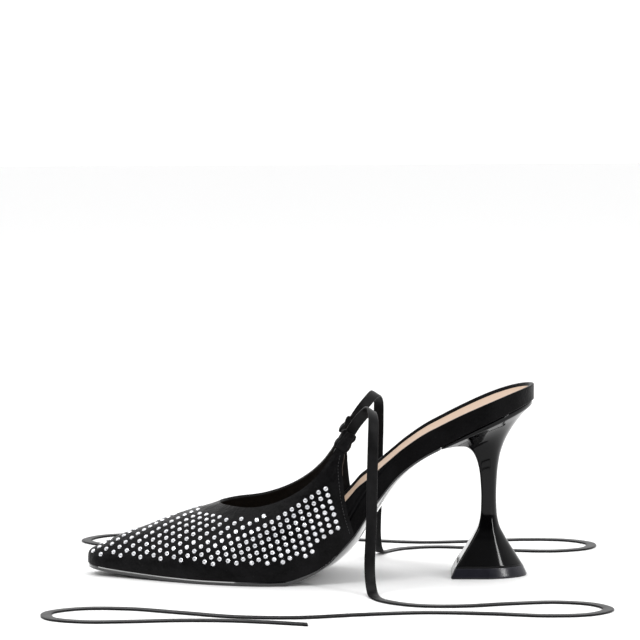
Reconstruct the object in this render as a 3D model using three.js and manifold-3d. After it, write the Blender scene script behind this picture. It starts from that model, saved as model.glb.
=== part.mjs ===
// A pointed, open-back evening shoe for the left foot, on a spool heel.
// Millimetres. +Z is up, the toe points to -X, and the wearer's outer (lateral) side is -Y.
// The floor is z = 0. The origin is the middle of the shoe's footprint box.
import * as THREE from 'three';
import { mergeVertices } from 'three/addons/utils/BufferGeometryUtils.js';
import Module from 'manifold-3d';

const wasm = await Module();
wasm.setup();

// Driving sizes of the shoe
const LENGTH = 234; // toe tip to the back of the seat
const BALL_WIDTH = 74; // last, across the ball
const WAIST_WIDTH = 49; // last, across the arch
const SEAT_WIDTH = 53.5; // last, across the seat
const SEAT_HEIGHT = 92.2; // floor to the footbed's underside at the back
const THROAT_HEIGHT = 36.5; // floor to the last's crest at the throat
const WING_HEIGHT = 76; // floor to the top of the wings
const TOE_SPRING = 3.8; // lift of the toe above the floor
const WALL = 1.5; // upper: satin, backing and lining
const CLEARANCE = 0.3; // between neighbouring pieces
const OUTSOLE_THICKNESS = 2.2;
const OUTSOLE_SETBACK = 0.4; // outsole edge inside the upper's face
const WAIST_EDGE = 1; // outsole edge along the arch
const WAIST_BELLY = 3.6; // rounding of the outsole under the arch
const WAIST_SETBACK = 1.2; // outsole edge inside the band along the arch
const BED_THICKNESS = 6.5; // footbed at the middle of the arch
const BAND_HEIGHT = 11.3; // satin band round the open footbed
const RIM_WIDTH = 2.2; // top of the band
const RIM_HEIGHT = 2.4; // band above the bed that it encloses
const RIM_ROUNDING = 0.7;
const SOCK_THICKNESS = 1;
const NOSE_LENGTH = 5; // rounding of the toe tip, seen from above
const NOSE_BLUNTNESS = 0.26; // the lower, the blunter is the toe tip in side view
const SEAT_ROUNDING = 26.5; // rounding of the seat, seen from above
const TIP_THICKNESS = 5.4; // top piece under the heel
const HEEL_SETBACK = 1; // heel cup inside the band
const STEM_DEPTH = 7.9; // heel stem, front to back
const STEM_WIDTH = 9.6;
const FOOT_DEPTH = 39.4; // heel's flared foot, front to back
const FOOT_WIDTH = 30.6;
const HEEL_AXIS_SETBACK = 23.6; // seat's back to the middle of the stem
const LOOP_LENGTH = 8; // sleeve at a wing tip, along the tie
const LOOP_WIDTH = 8.2;
const LOOP_DEPTH = 4.8;
const LOOP_WALL = 0.8;
const TIE_WIDTH = 5.5;
const TIE_THICKNESS = 1;

// The last reaches from inside the toe's wall to the back of the seat.
const LAST_LENGTH = LENGTH - WALL - CLEARANCE;
const LAST_BACK = LENGTH / 2;
const LAST_TOE = LAST_BACK - LAST_LENGTH;
const NOSE_SHARE = NOSE_LENGTH / LAST_LENGTH;
const SEAT_SHARE = 1 - SEAT_ROUNDING / LAST_LENGTH;

const Side = { LATERAL: -1, MEDIAL: 1 };

// Outline of the last from above: each side's distance from the axis, as shares of one width.
const PLAN = [
  { at: 0.0, lateral: 0.041, medial: 0.122, of: BALL_WIDTH },
  { at: 0.05, lateral: 0.108, medial: 0.176, of: BALL_WIDTH },
  { at: 0.12, lateral: 0.209, medial: 0.264, of: BALL_WIDTH },
  { at: 0.2, lateral: 0.324, medial: 0.365, of: BALL_WIDTH },
  { at: 0.28, lateral: 0.423, medial: 0.455, of: BALL_WIDTH },
  { at: 0.35, lateral: 0.479, medial: 0.491, of: BALL_WIDTH },
  { at: 0.4, lateral: 0.499, medial: 0.488, of: BALL_WIDTH },
  { at: 0.45, lateral: 0.493, medial: 0.457, of: BALL_WIDTH },
  { at: 0.5, lateral: 0.466, medial: 0.414, of: BALL_WIDTH },
  { at: 0.56, lateral: 0.641, medial: 0.559, of: WAIST_WIDTH },
  { at: 0.63, lateral: 0.571, medial: 0.502, of: WAIST_WIDTH },
  { at: 0.72, lateral: 0.527, medial: 0.482, of: WAIST_WIDTH },
  { at: 0.8, lateral: 0.486, medial: 0.467, of: SEAT_WIDTH },
  { at: 0.88, lateral: 0.501, medial: 0.497, of: SEAT_WIDTH },
  { at: 1.0, lateral: 0.482, medial: 0.482, of: SEAT_WIDTH },
];

// Side view of the footbed's underside: rise is a share of the seat's rise, spring of the toe's.
const UNDERSIDE = [
  { at: 0.0, rise: 0.0, spring: 1.0 },
  { at: 0.044, rise: 0.0, spring: 0.63 },
  { at: 0.117, rise: 0.0, spring: 0.32 },
  { at: 0.203, rise: 0.0, spring: 0.08 },
  { at: 0.268, rise: 0.0, spring: 0.0 },
  { at: 0.405, rise: 0.0, spring: 0.0 },
  { at: 0.451, rise: 0.004, spring: 0.0 },
  { at: 0.486, rise: 0.028, spring: 0.0 },
  { at: 0.519, rise: 0.062, spring: 0.0 },
  { at: 0.546, rise: 0.106, spring: 0.0 },
  { at: 0.57, rise: 0.166, spring: 0.0 },
  { at: 0.601, rise: 0.252, spring: 0.0 },
  { at: 0.628, rise: 0.358, spring: 0.0 },
  { at: 0.6615, rise: 0.478, spring: 0.0 },
  { at: 0.695, rise: 0.582, spring: 0.0 },
  { at: 0.7295, rise: 0.656, spring: 0.0 },
  { at: 0.763, rise: 0.711, spring: 0.0 },
  { at: 0.793, rise: 0.751, spring: 0.0 },
  { at: 0.864, rise: 0.846, spring: 0.0 },
  { at: 0.932, rise: 0.929, spring: 0.0 },
  { at: 0.974, rise: 0.975, spring: 0.0 },
  { at: 1.0, rise: 1.0, spring: 0.0 },
];

// Footbed above its underside: core at the middle of the foot, band at the rim.
const BED = [
  { at: 0.0, core: 0.37, band: 0.21 },
  { at: 0.405, core: 0.4, band: 0.23 },
  { at: 0.451, core: 0.85, band: 0.49 },
  { at: 0.486, core: 1.36, band: 0.88 },
  { at: 0.519, core: 1.82, band: 1.29 },
  { at: 0.546, core: 2.13, band: 1.66 },
  { at: 0.57, core: 2.27, band: 1.98 },
  { at: 0.601, core: 2.29, band: 2.02 },
  { at: 0.628, core: 1.97, band: 1.66 },
  { at: 0.6615, core: 1.55, band: 1.29 },
  { at: 0.695, core: 1.15, band: 1.05 },
  { at: 0.7295, core: 1.02, band: 1.0 },
  { at: 0.793, core: 1.0, band: 1.0 },
  { at: 0.864, core: 0.92, band: 0.95 },
  { at: 0.932, core: 0.86, band: 0.87 },
  { at: 1.0, core: 0.8, band: 0.725 },
];

// Sections of the last over the foot. crest is its height as a share of one named height,
// bulge leans the side outward as a share of the ball width, lift and crown round the arch.
const SECTIONS = [
  { at: 0.0, crest: 0.24, of: THROAT_HEIGHT, bulge: 0.007, lift: 0.6, crown: 0.5 },
  { at: 0.014, crest: 0.27, of: THROAT_HEIGHT, bulge: 0.009, lift: 0.6, crown: 0.5 },
  { at: 0.06, crest: 0.44, of: THROAT_HEIGHT, bulge: 0.013, lift: 0.6, crown: 0.5 },
  { at: 0.14, crest: 0.66, of: THROAT_HEIGHT, bulge: 0.02, lift: 0.6, crown: 0.52 },
  { at: 0.21, crest: 0.845, of: THROAT_HEIGHT, bulge: 0.027, lift: 0.6, crown: 0.54 },
  { at: 0.25, crest: 0.925, of: THROAT_HEIGHT, bulge: 0.031, lift: 0.6, crown: 0.55 },
  { at: 0.288, crest: 1.0, of: THROAT_HEIGHT, bulge: 0.034, lift: 0.6, crown: 0.56 },
  { at: 0.35, crest: 0.58, of: WING_HEIGHT, bulge: 0.04, lift: 0.6, crown: 0.62 },
  { at: 0.4, crest: 0.667, of: WING_HEIGHT, bulge: 0.043, lift: 0.6, crown: 0.63 },
  { at: 0.45, crest: 0.793, of: WING_HEIGHT, bulge: 0.047, lift: 0.6, crown: 0.64 },
  { at: 0.5, crest: 0.987, of: WING_HEIGHT, bulge: 0.068, lift: 0.6, crown: 0.66 },
  { at: 0.56, crest: 1.387, of: WING_HEIGHT, bulge: 0.12, lift: 0.6, crown: 0.75 },
  { at: 0.66, crest: 1.6, of: WING_HEIGHT, bulge: 0.15, lift: 0.6, crown: 0.75 },
];

// Edge of the upper in side view, from the throat over the dip to a wing tip and down its back.
// across is a share of the length from the middle, up a share of one named height.
const TOPLINE = [
  { across: -0.2085, up: 1.16, of: THROAT_HEIGHT },
  { across: -0.2062, up: 1.066, of: THROAT_HEIGHT },
  { across: -0.191, up: 1.06, of: THROAT_HEIGHT },
  { across: -0.1755, up: 1.063, of: THROAT_HEIGHT },
  { across: -0.1385, up: 1.066, of: THROAT_HEIGHT },
  { across: -0.1155, up: 1.079, of: THROAT_HEIGHT },
  { across: -0.0812, up: 0.543, of: WING_HEIGHT },
  { across: -0.0481, up: 0.583, of: WING_HEIGHT },
  { across: -0.015, up: 0.64, of: WING_HEIGHT },
  { across: 0.0184, up: 0.724, of: WING_HEIGHT },
  { across: 0.0407, up: 0.807, of: WING_HEIGHT },
  { across: 0.0617, up: 0.913, of: WING_HEIGHT },
  { across: 0.0753, up: 0.984, of: WING_HEIGHT },
];
const WING_BACK = [
  { across: 0.0923, up: 0.951, of: WING_HEIGHT },
  { across: 0.0847, up: 0.896, of: WING_HEIGHT },
  { across: 0.079, up: 0.79, of: WING_HEIGHT },
  { across: 0.0815, up: 0.69, of: WING_HEIGHT },
  { across: 0.0844, up: 0.598, of: WING_HEIGHT },
  { across: 0.0911, up: 0.488, of: WING_HEIGHT },
  { across: 0.1048, up: 0.335, of: WING_HEIGHT },
];

// Rings of the heel from the seat down. cup and foot say how far a ring has swollen from the
// stem to one of them, front and back are its heights as shares of the seat height.
const HEEL_RINGS = [
  { at: 0.0, cup: 1.0, foot: 0.0, front: 0.748, back: 0.976 },
  { at: 0.11, cup: 0.68, foot: 0.0, front: 0.752, back: 0.907 },
  { at: 0.22, cup: 0.42, foot: 0.0, front: 0.746, back: 0.834 },
  { at: 0.33, cup: 0.22, foot: 0.0, front: 0.714, back: 0.757 },
  { at: 0.44, cup: 0.09, foot: 0.0, front: 0.648, back: 0.672 },
  { at: 0.55, cup: 0.025, foot: 0.0, front: 0.563, back: 0.57 },
  { at: 0.67, cup: 0.0, foot: 0.0, front: 0.45, back: 0.45 },
  { at: 0.78, cup: 0.0, foot: 0.015, front: 0.365, back: 0.365 },
  { at: 0.89, cup: 0.0, foot: 0.09, front: 0.29, back: 0.29 },
  { at: 1.0, cup: 0.0, foot: 0.3, front: 0.215, back: 0.215 },
];

const clamp = THREE.MathUtils.clamp;
const lerp = THREE.MathUtils.lerp;
const smoothstep = THREE.MathUtils.smoothstep;

/** Smooth curve through a table's column that never swings past its neighbours. */
function track(rows, read) {
  const at = rows.map((row) => row.at);
  const value = rows.map(read);
  const last = at.length - 1;
  const slope = at.map((_, i) => (i < last ? (value[i + 1] - value[i]) / (at[i + 1] - at[i]) : 0));
  const tangent = at.map((_, i) => {
    if (i === 0) return slope[0];
    if (i === last) return slope[last - 1];
    const [before, after] = [slope[i - 1], slope[i]];
    return before * after <= 0 ? 0 : (2 * before * after) / (before + after);
  });
  return (share) => {
    const s = clamp(share, at[0], at[last]);
    const i = Math.min(at.findLastIndex((a) => a <= s), last - 1);
    const span = at[i + 1] - at[i];
    const t = (s - at[i]) / span;
    const h00 = (1 + 2 * t) * (1 - t) ** 2;
    const h10 = t * (1 - t) ** 2;
    const h01 = t * t * (3 - 2 * t);
    const h11 = t * t * (t - 1);
    return h00 * value[i] + h10 * span * tangent[i] + h01 * value[i + 1] + h11 * span * tangent[i + 1];
  };
}

const lateralHalf = track(PLAN, (row) => row.lateral * row.of);
const medialHalf = track(PLAN, (row) => row.medial * row.of);
const rise = track(UNDERSIDE, (row) => row.rise);
const spring = track(UNDERSIDE, (row) => row.spring);
const core = track(BED, (row) => row.core * BED_THICKNESS);
const band = track(BED, (row) => row.band * BAND_HEIGHT);
const crest = track(SECTIONS, (row) => row.crest * row.of);
const bulge = track(SECTIONS, (row) => row.bulge * BALL_WIDTH);
const lift = track(SECTIONS, (row) => row.lift);
const crown = track(SECTIONS, (row) => row.crown);

const lengthwise = (share) => LAST_TOE + share * LAST_LENGTH;
const shareAt = (x) => (x - LAST_TOE) / LAST_LENGTH;

/** How far the outline has opened from the rounded toe tip or seat, 0 to 1. */
function opening(share) {
  if (share < NOSE_SHARE) return Math.sqrt(Math.max(0, 1 - (1 - share / NOSE_SHARE) ** 2));
  if (share > SEAT_SHARE) return Math.sqrt(Math.max(0, 1 - ((share - SEAT_SHARE) / (1 - SEAT_SHARE)) ** 2));
  return 1;
}

/** Middle of the last and its half width at a station. */
function breadth(share) {
  const lateral = lateralHalf(share);
  const medial = medialHalf(share);
  return { middle: (medial - lateral) / 2, half: ((medial + lateral) / 2) * opening(share) };
}

/** Height of the footbed's underside, which is the top of the outsole. */
const underside = (share) => (
  OUTSOLE_THICKNESS + rise(share) * (SEAT_HEIGHT - OUTSOLE_THICKNESS) + spring(share) * TOE_SPRING
);

const TINY = 1e-4;

/** Point of the last's outline from above, moved out along its normal. */
function outlinePoint(side, share, out) {
  const near = (s) => {
    const { middle, half } = breadth(s);
    return new THREE.Vector2(lengthwise(s), middle + side * half);
  };
  const point = near(share);
  const ahead = near(Math.min(share + TINY, 1)).sub(near(Math.max(share - TINY, 0))).normalize();
  return point.add(new THREE.Vector2(-ahead.y * side, ahead.x * side).multiplyScalar(out));
}

/** Point of the last's surface: around runs 0 to 1 from the lateral edge over the crest. */
function lastPoint(share, around) {
  const { middle, half } = breadth(share);
  const side = around < 0.5 ? Side.LATERAL : Side.MEDIAL;
  const t = 1 - Math.abs(around - 0.5) * 2;
  const base = underside(share);
  const open = opening(share) ** NOSE_BLUNTNESS;
  const tall = (crest(share) + spring(share) * TOE_SPRING - base) * open;
  const [a, b, c, d] = [(1 - t) ** 3, 3 * t * (1 - t) ** 2, 3 * t * t * (1 - t), t ** 3];
  const across = a * half + b * (half + bulge(share) * opening(share)) + c * half * crown(share);
  const up = base + tall * (b * lift(share) + c + d);
  return new THREE.Vector3(lengthwise(share), middle + side * across, up);
}

/** Point of the last's surface moved out along its normal, for a wall of even thickness. */
function skinPoint(share, around, out) {
  const step = (s, a) => lastPoint(clamp(s, TINY, 1 - TINY), clamp(a, 0, 1));
  const along = step(share + TINY, around).sub(step(share - TINY, around));
  const over = step(share, around + TINY).sub(step(share, around - TINY));
  const normal = along.cross(over).normalize();
  return lastPoint(share, around).addScaledVector(normal, out);
}

/** Stations from the toe to the seat, closer together where the outline is round. */
function stations(from, to, step) {
  const nose = [0.15, 0.4, 0.7, 1.1].map((a) => NOSE_SHARE * (1 - Math.cos(a)));
  const seat = [0, 0.35, 0.65, 0.9, 1.1, 1.28].map((a) => SEAT_SHARE + (1 - SEAT_SHARE) * Math.sin(a));
  const count = Math.round(((SEAT_SHARE - NOSE_SHARE) * LAST_LENGTH) / step);
  const body = Array.from({ length: count }, (_, i) => lerp(NOSE_SHARE, SEAT_SHARE, i / count));
  const gap = (step * 0.3) / LAST_LENGTH;
  const inside = [...nose, ...body, ...seat].filter((s) => s > from && s < to);
  const roomy = inside.filter((s) => s <= NOSE_SHARE || s >= SEAT_SHARE || (s > from + gap && s < to - gap));
  return [from, ...roomy, to];
}

const BODY_STEP = 6; // along the shoe between two sections
const FIRST = NOSE_SHARE * (1 - Math.cos(0.15));
const FINAL = SEAT_SHARE + (1 - SEAT_SHARE) * Math.sin(1.5);

/** Mesh from points and triangles, with one vertex for each place. */
function toGeometry(points, triangles) {
  const geometry = new THREE.BufferGeometry();
  const position = points.flatMap((p) => [p.x, p.y, p.z]);
  geometry.setAttribute('position', new THREE.Float32BufferAttribute(position, 3));
  geometry.setIndex(triangles.flat());
  geometry.computeVertexNormals();
  return geometry;
}

/** Closed body between two grids of points: rows run along the shoe, columns across it. */
function slab(top, bottom) {
  const rows = top.length;
  const columns = top[0].length;
  const points = [...top.flat(), ...bottom.flat()];
  const upper = (i, j) => i * columns + j;
  const lower = (i, j) => rows * columns + i * columns + j;
  const triangles = [];
  const quad = (a, b, c, d) => triangles.push([a, b, c], [a, c, d]);
  for (let i = 0; i + 1 < rows; i += 1) {
    for (let j = 0; j + 1 < columns; j += 1) {
      quad(upper(i, j), upper(i + 1, j), upper(i + 1, j + 1), upper(i, j + 1));
      quad(lower(i, j), lower(i, j + 1), lower(i + 1, j + 1), lower(i + 1, j));
    }
    quad(upper(i + 1, 0), upper(i, 0), lower(i, 0), lower(i + 1, 0));
    const end = columns - 1;
    quad(upper(i, end), upper(i + 1, end), lower(i + 1, end), lower(i, end));
  }
  for (let j = 0; j + 1 < columns; j += 1) {
    quad(upper(0, j), upper(0, j + 1), lower(0, j + 1), lower(0, j));
    quad(upper(rows - 1, j + 1), upper(rows - 1, j), lower(rows - 1, j), lower(rows - 1, j + 1));
  }
  return toGeometry(points, triangles);
}

/** Closed body through rings of equal count, with a fan over each end. */
function loft(rings) {
  const count = rings[0].length;
  const middle = (ring) => ring.reduce((sum, p) => sum.add(p), new THREE.Vector3()).divideScalar(count);
  const points = [...rings.flat(), middle(rings[0]), middle(rings.at(-1))];
  const triangles = [];
  for (let i = 0; i < count; i += 1) {
    const next = (i + 1) % count;
    for (let k = 0; k + 1 < rings.length; k += 1) {
      const [low, high] = [k * count, (k + 1) * count];
      triangles.push([low + i, low + next, high + next], [low + i, high + next, high + i]);
    }
    const topRing = (rings.length - 1) * count;
    triangles.push([rings.length * count, next, i]);
    triangles.push([rings.length * count + 1, topRing + i, topRing + next]);
  }
  return toGeometry(points, triangles);
}

/** The closed geometry as a solid for joins and cuts. */
function toSolid(geometry) {
  const plain = geometry.clone();
  plain.deleteAttribute('normal');
  plain.deleteAttribute('uv');
  const merged = mergeVertices(plain, 1e-5);
  const vertProperties = new Float32Array(merged.attributes.position.array);
  const triVerts = new Uint32Array(merged.index.array);
  return new wasm.Manifold(new wasm.Mesh({ numProp: 3, vertProperties, triVerts }));
}

const WELD = 0.02; // places nearer than this are one
const HAIR = 0.01; // height of a triangle that is too thin to keep

/** The same surface without the hair-thin triangles that a cut leaves. */
function tidied(points, triangles) {
  const kept = [];
  const place = points.map((p) => {
    const near = kept.findIndex((q) => q.distanceTo(p) < WELD);
    return near < 0 ? kept.push(p) - 1 : near;
  });
  const faces = triangles
    .map((triangle) => triangle.map((i) => place[i]))
    .filter(([a, b, c]) => a !== b && b !== c && c !== a);
  for (let k = 0; k < faces.length * 2; k += 1) {
    const face = faces[k % faces.length];
    const sides = face.map((from, i) => kept[from].distanceTo(kept[face[(i + 1) % 3]]));
    const longest = Math.max(...sides);
    const first = sides.indexOf(longest);
    const [a, b, c] = [0, 1, 2].map((i) => face[(first + i) % 3]);
    const [along, toTip] = [kept[b].clone().sub(kept[a]), kept[c].clone().sub(kept[a])];
    if (along.cross(toTip).length() / longest > HAIR) continue;
    const other = faces.findIndex((f) => f !== face && f.includes(a) && f.includes(b));
    const d = faces[other].find((i) => i !== a && i !== b);
    faces[k % faces.length] = [a, d, c];
    faces[other] = [d, b, c];
  }
  return toGeometry(kept, faces);
}

/** The solid back as a geometry. */
function fromSolid(solid) {
  const { vertProperties, triVerts, numProp } = solid.getMesh();
  const points = Array.from({ length: vertProperties.length / numProp }, (_, i) => (
    new THREE.Vector3().fromArray(vertProperties, i * numProp)
  ));
  const triangles = Array.from({ length: triVerts.length / 3 }, (_, i) => (
    Array.from(triVerts.subarray(i * 3, i * 3 + 3))
  ));
  return tidied(points, triangles);
}

const UPPER_BACK = 0.635; // share of the last where the sections of the upper end
const ARCH_STEPS = 26;
const HEM = 6; // walls run this far past the feather edge before they are trimmed

/** Filled body under one skin of the last, with walls that run down past the feather edge. */
function lastBody(out, hem, back) {
  const shares = stations(FIRST, back, BODY_STEP);
  const tops = shares.map((share) => {
    const arch = Array.from({ length: ARCH_STEPS + 1 }, (_, j) => skinPoint(share, j / ARCH_STEPS, out));
    const drop = (p) => new THREE.Vector3(p.x, p.y, p.z - hem);
    return [drop(arch[0]), ...arch, drop(arch.at(-1))];
  });
  const bottoms = tops.map((row) => {
    const [from, to] = [row[0], row.at(-1)];
    return row.map((_, j) => {
      const point = from.clone().lerp(to, j / (row.length - 1));
      point.z -= hem;
      return point;
    });
  });
  return toSolid(slab(tops, bottoms));
}

/** Smooth run of points in side view through a table's rows. */
function sideCurve(rows, steps) {
  const knots = rows.map((row) => new THREE.Vector2(row.across * LENGTH, row.up * row.of));
  return new THREE.SplineCurve(knots).getPoints(steps);
}

/** The part of the side view that the upper fills, as a solid across the whole shoe. */
function upperProfile() {
  const topline = sideCurve(TOPLINE, 34);
  const wingBack = sideCurve(WING_BACK, 12);
  const corner = wingBack.at(-1);
  const past = LENGTH / 2 + 10;
  const hemline = stations(FIRST, shareAt(corner.x), BODY_STEP)
    .map((share) => new THREE.Vector2(lengthwise(share), underside(share) + CLEARANCE));
  const rear = hemline.pop();
  wingBack.pop();
  const front = hemline.shift();
  const outline = [
    new THREE.Vector2(-past, front.y),
    new THREE.Vector2(-past, topline[0].y),
    ...topline,
    ...wingBack,
    new THREE.Vector2(corner.x, rear.y),
    ...hemline.reverse(),
  ];
  const shape = new THREE.Shape(outline.reverse());
  const reach = BALL_WIDTH;
  const geometry = new THREE.ExtrudeGeometry(shape, { depth: 2 * reach, bevelEnabled: false });
  geometry.rotateX(Math.PI / 2);
  geometry.translate(0, reach, 0);
  return toSolid(geometry);
}

/** Hollow upper: vamp and wings in one even wall, open on top, at the back and underneath. */
function upperGeometry() {
  const outer = lastBody(CLEARANCE + WALL, HEM, UPPER_BACK);
  const inner = lastBody(CLEARANCE, HEM * 2, UPPER_BACK + 0.02);
  return fromSolid(outer.subtract(inner).intersect(upperProfile()));
}

const BED_PLACES = [-1, -0.72, -0.36, 0, 0.36, 0.72, 1];
const BED_FROM = FIRST + 0.002;
const BED_TO = SEAT_SHARE + (1 - SEAT_SHARE) * Math.sin(1.42);

/** Footbed's surface under the sock at a place across it, from -1 lateral to 1 medial. */
function bedFloor(share, place) {
  const middle = core(share);
  const edge = Math.max(middle, band(share) - RIM_HEIGHT);
  return underside(share) + CLEARANCE + lerp(middle, edge, Math.abs(place) ** 3);
}

/** Places across the bed at a station, inside the outline by a margin and at their own height. */
function bedRow(share, margin, heightAt) {
  const [from, to] = [Side.LATERAL, Side.MEDIAL].map((side) => outlinePoint(side, share, -margin));
  return BED_PLACES.map((place) => {
    const spot = from.clone().lerp(to, (place + 1) / 2);
    return new THREE.Vector3(spot.x, spot.y, heightAt(shareAt(spot.x), place));
  });
}

/** Moulded footbed with its satin band: a low rim round a dished bed. */
function footbedGeometry() {
  const bottomAt = (share) => underside(share) + CLEARANCE;
  const rimAt = (share) => Math.max(bottomAt(share) + band(share), bedFloor(share, 1));
  const rimPoint = (side, share, inset, fall) => {
    const spot = outlinePoint(side, share, -inset);
    return new THREE.Vector3(spot.x, spot.y, rimAt(shareAt(spot.x)) - fall);
  };
  const rimRow = (side, share, margin) => [
    rimPoint(side, share, 0, RIM_ROUNDING),
    rimPoint(side, share, margin * 0.3, 0),
    rimPoint(side, share, margin * 0.85, 0),
  ];
  const row = (share, margin, heightAt) => [
    ...rimRow(Side.LATERAL, share, margin),
    ...bedRow(share, margin, heightAt),
    ...rimRow(Side.MEDIAL, share, margin).reverse(),
  ];
  const edgeRow = (share, columns) => {
    const [from, to] = [Side.LATERAL, Side.MEDIAL].map((side) => rimPoint(side, share, 0, RIM_ROUNDING));
    return Array.from({ length: columns }, (_, j) => from.clone().lerp(to, j / (columns - 1)));
  };
  const [first, ...shares] = stations(BED_FROM, BED_TO, BODY_STEP);
  const dished = shares.map((share) => row(share, RIM_WIDTH, bedFloor));
  const columns = dished[0].length;
  const top = [
    edgeRow(first, columns),
    ...dished,
    row(lerp(BED_TO, FINAL, 0.3), RIM_WIDTH * 0.85, rimAt),
    row(lerp(BED_TO, FINAL, 0.7), RIM_ROUNDING, rimAt),
    edgeRow(FINAL, columns),
  ];
  const bottom = top.map((line) => line.map((p) => new THREE.Vector3(p.x, p.y, bottomAt(shareAt(p.x)))));
  return slab(top, bottom);
}

/** Sock lining on the bed, inside the rim. */
function sockGeometry() {
  const margin = RIM_WIDTH + 2 * CLEARANCE;
  const lying = (share, place) => bedFloor(share, place) + CLEARANCE;
  const bottom = stations(BED_FROM, FINAL, BODY_STEP).map((share) => bedRow(share, margin, lying));
  const top = bottom.map((row) => row.map((p) => new THREE.Vector3(p.x, p.y, p.z + SOCK_THICKNESS)));
  return slab(top, bottom);
}

const BREAST_SHARE = 0.792; // share of the last at the heel breast
const BREAST_BELLY = 0.55; // share of the waist's rounding that is left at the breast
const SOLE_PLACES = [-1, -0.94, -0.7, -0.35, 0, 0.35, 0.7, 0.94, 1];

/** Outsole: a thin flat forepart that turns into a rounded waist and ends at the heel breast. */
function outsoleGeometry() {
  const rows = stations(FIRST, BREAST_SHARE, BODY_STEP).map((share) => {
    const arch = smoothstep(share, 0.47, 0.62);
    const out = lerp(CLEARANCE + WALL - OUTSOLE_SETBACK, -WAIST_SETBACK, arch);
    const lateral = outlinePoint(Side.LATERAL, share, out);
    const medial = outlinePoint(Side.MEDIAL, share, out);
    const edge = lerp(OUTSOLE_THICKNESS, WAIST_EDGE, smoothstep(share, 0.44, 0.56));
    const thinning = lerp(1, BREAST_BELLY, smoothstep(share, 0.66, BREAST_SHARE));
    const belly = WAIST_BELLY * smoothstep(share, 0.5, 0.64) * thinning;
    const place = (p, depth) => {
      const flat = lateral.clone().lerp(medial, (p + 1) / 2);
      return new THREE.Vector3(flat.x, flat.y, underside(shareAt(flat.x)) - depth);
    };
    const top = SOLE_PLACES.map((p) => place(p, 0));
    const bottom = SOLE_PLACES.map((p) => {
      const soft = Math.abs(p) === 1 ? Math.min(0.5, edge * 0.4) : 0;
      return place(p, edge - soft + belly * (1 - p * p));
    });
    return { top, bottom };
  });
  return slab(rows.map((row) => row.top), rows.map((row) => row.bottom));
}

const RING_SIDE = 3; // steps along each flat side of a heel ring
const RING_BACK = 10; // steps round its back

/** Ring of the heel: a flat front, flat sides and a rounded back. */
function heelRing({ front, back, half, frontHeight, backHeight, roundShare, heightAt }) {
  const straight = lerp(back, front, roundShare);
  const outline = [];
  for (let i = 0; i <= RING_SIDE; i += 1) {
    outline.push(new THREE.Vector2(lerp(front, straight, i / RING_SIDE), -half));
  }
  for (let i = 1; i < RING_BACK; i += 1) {
    const angle = (Math.PI * i) / RING_BACK - Math.PI / 2;
    outline.push(new THREE.Vector2(straight + (back - straight) * Math.cos(angle), half * Math.sin(angle)));
  }
  for (let i = RING_SIDE; i >= 0; i -= 1) {
    outline.push(new THREE.Vector2(lerp(front, straight, i / RING_SIDE), half));
  }
  const slope = (x) => lerp(frontHeight, backHeight, (x - front) / (back - front));
  return outline.map((p) => new THREE.Vector3(p.x, p.y, (heightAt ?? slope)(p.x)));
}

const STEM_X = LENGTH / 2 - HEEL_AXIS_SETBACK;
const FOOT_ROUND = 0.38; // share of the foot's depth that its rounded back takes
const CUP_ROUND = 0.56;
const STEM_ROUND = 0.45;
const HEEL_STEPS = 18;
const cupSwell = track(HEEL_RINGS, (row) => row.cup);
const footSwell = track(HEEL_RINGS, (row) => row.foot);
const frontRise = track(HEEL_RINGS, (row) => row.front);
const backRise = track(HEEL_RINGS, (row) => row.back);

/** Sizes of a heel ring between the stem and the cup or the foot. */
function heelSection(row) {
  const cupFront = lengthwise(BREAST_SHARE) + CLEARANCE;
  const cupBack = LAST_BACK - HEEL_SETBACK;
  const cupHalf = SEAT_WIDTH / 2 - HEEL_SETBACK;
  const from = STEM_X - STEM_DEPTH / 2;
  const to = STEM_X + STEM_DEPTH / 2;
  const widen = (stem, cup, foot) => stem + (cup - stem) * row.cup + (foot - stem) * row.foot;
  return {
    front: widen(from, cupFront, STEM_X - FOOT_DEPTH / 2),
    back: widen(to, cupBack, STEM_X + FOOT_DEPTH / 2),
    half: widen(STEM_WIDTH / 2, cupHalf, FOOT_WIDTH / 2),
    frontHeight: row.front * SEAT_HEIGHT,
    backHeight: row.back * SEAT_HEIGHT,
    roundShare: widen(STEM_ROUND, CUP_ROUND, FOOT_ROUND),
  };
}

/** Spool heel: its cup follows the seat, and its foot flares to the top piece. */
function heelGeometry() {
  const top = heelSection({ cup: 1, foot: 0, front: 0, back: 0 });
  const seat = heelRing({ ...top, heightAt: (x) => underside(shareAt(x)) });
  const foot = heelRing({
    ...heelSection({ cup: 0, foot: 0.86, front: 0, back: 0 }),
    frontHeight: TIP_THICKNESS + CLEARANCE,
    backHeight: TIP_THICKNESS + CLEARANCE,
  });
  const between = Array.from({ length: HEEL_STEPS + 1 }, (_, i) => {
    const at = 1 - i / HEEL_STEPS;
    const row = { cup: cupSwell(at), foot: footSwell(at), front: frontRise(at), back: backRise(at) };
    return heelRing(heelSection(row));
  });
  return loft([foot, ...between, seat]);
}

/** Top piece under the heel's foot. */
function heelTipGeometry() {
  const level = (share, height) => heelRing({
    ...heelSection({ cup: 0, foot: share, front: 0, back: 0 }),
    frontHeight: height,
    backHeight: height,
  });
  return loft([level(0.97, 0), level(1, 0.6), level(0.87, TIP_THICKNESS)]);
}

/** Point of the last's skin on one side at a place in side view. */
function skinAt(side, x, z, out) {
  const share = shareAt(x);
  let [low, high] = [0, 1];
  for (let i = 0; i < 40; i += 1) {
    const t = (low + high) / 2;
    const around = side === Side.LATERAL ? t / 2 : 1 - t / 2;
    if (skinPoint(share, around, out).z < z) low = t;
    else high = t;
  }
  return skinPoint(share, side === Side.LATERAL ? low / 2 : 1 - low / 2, out);
}

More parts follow.
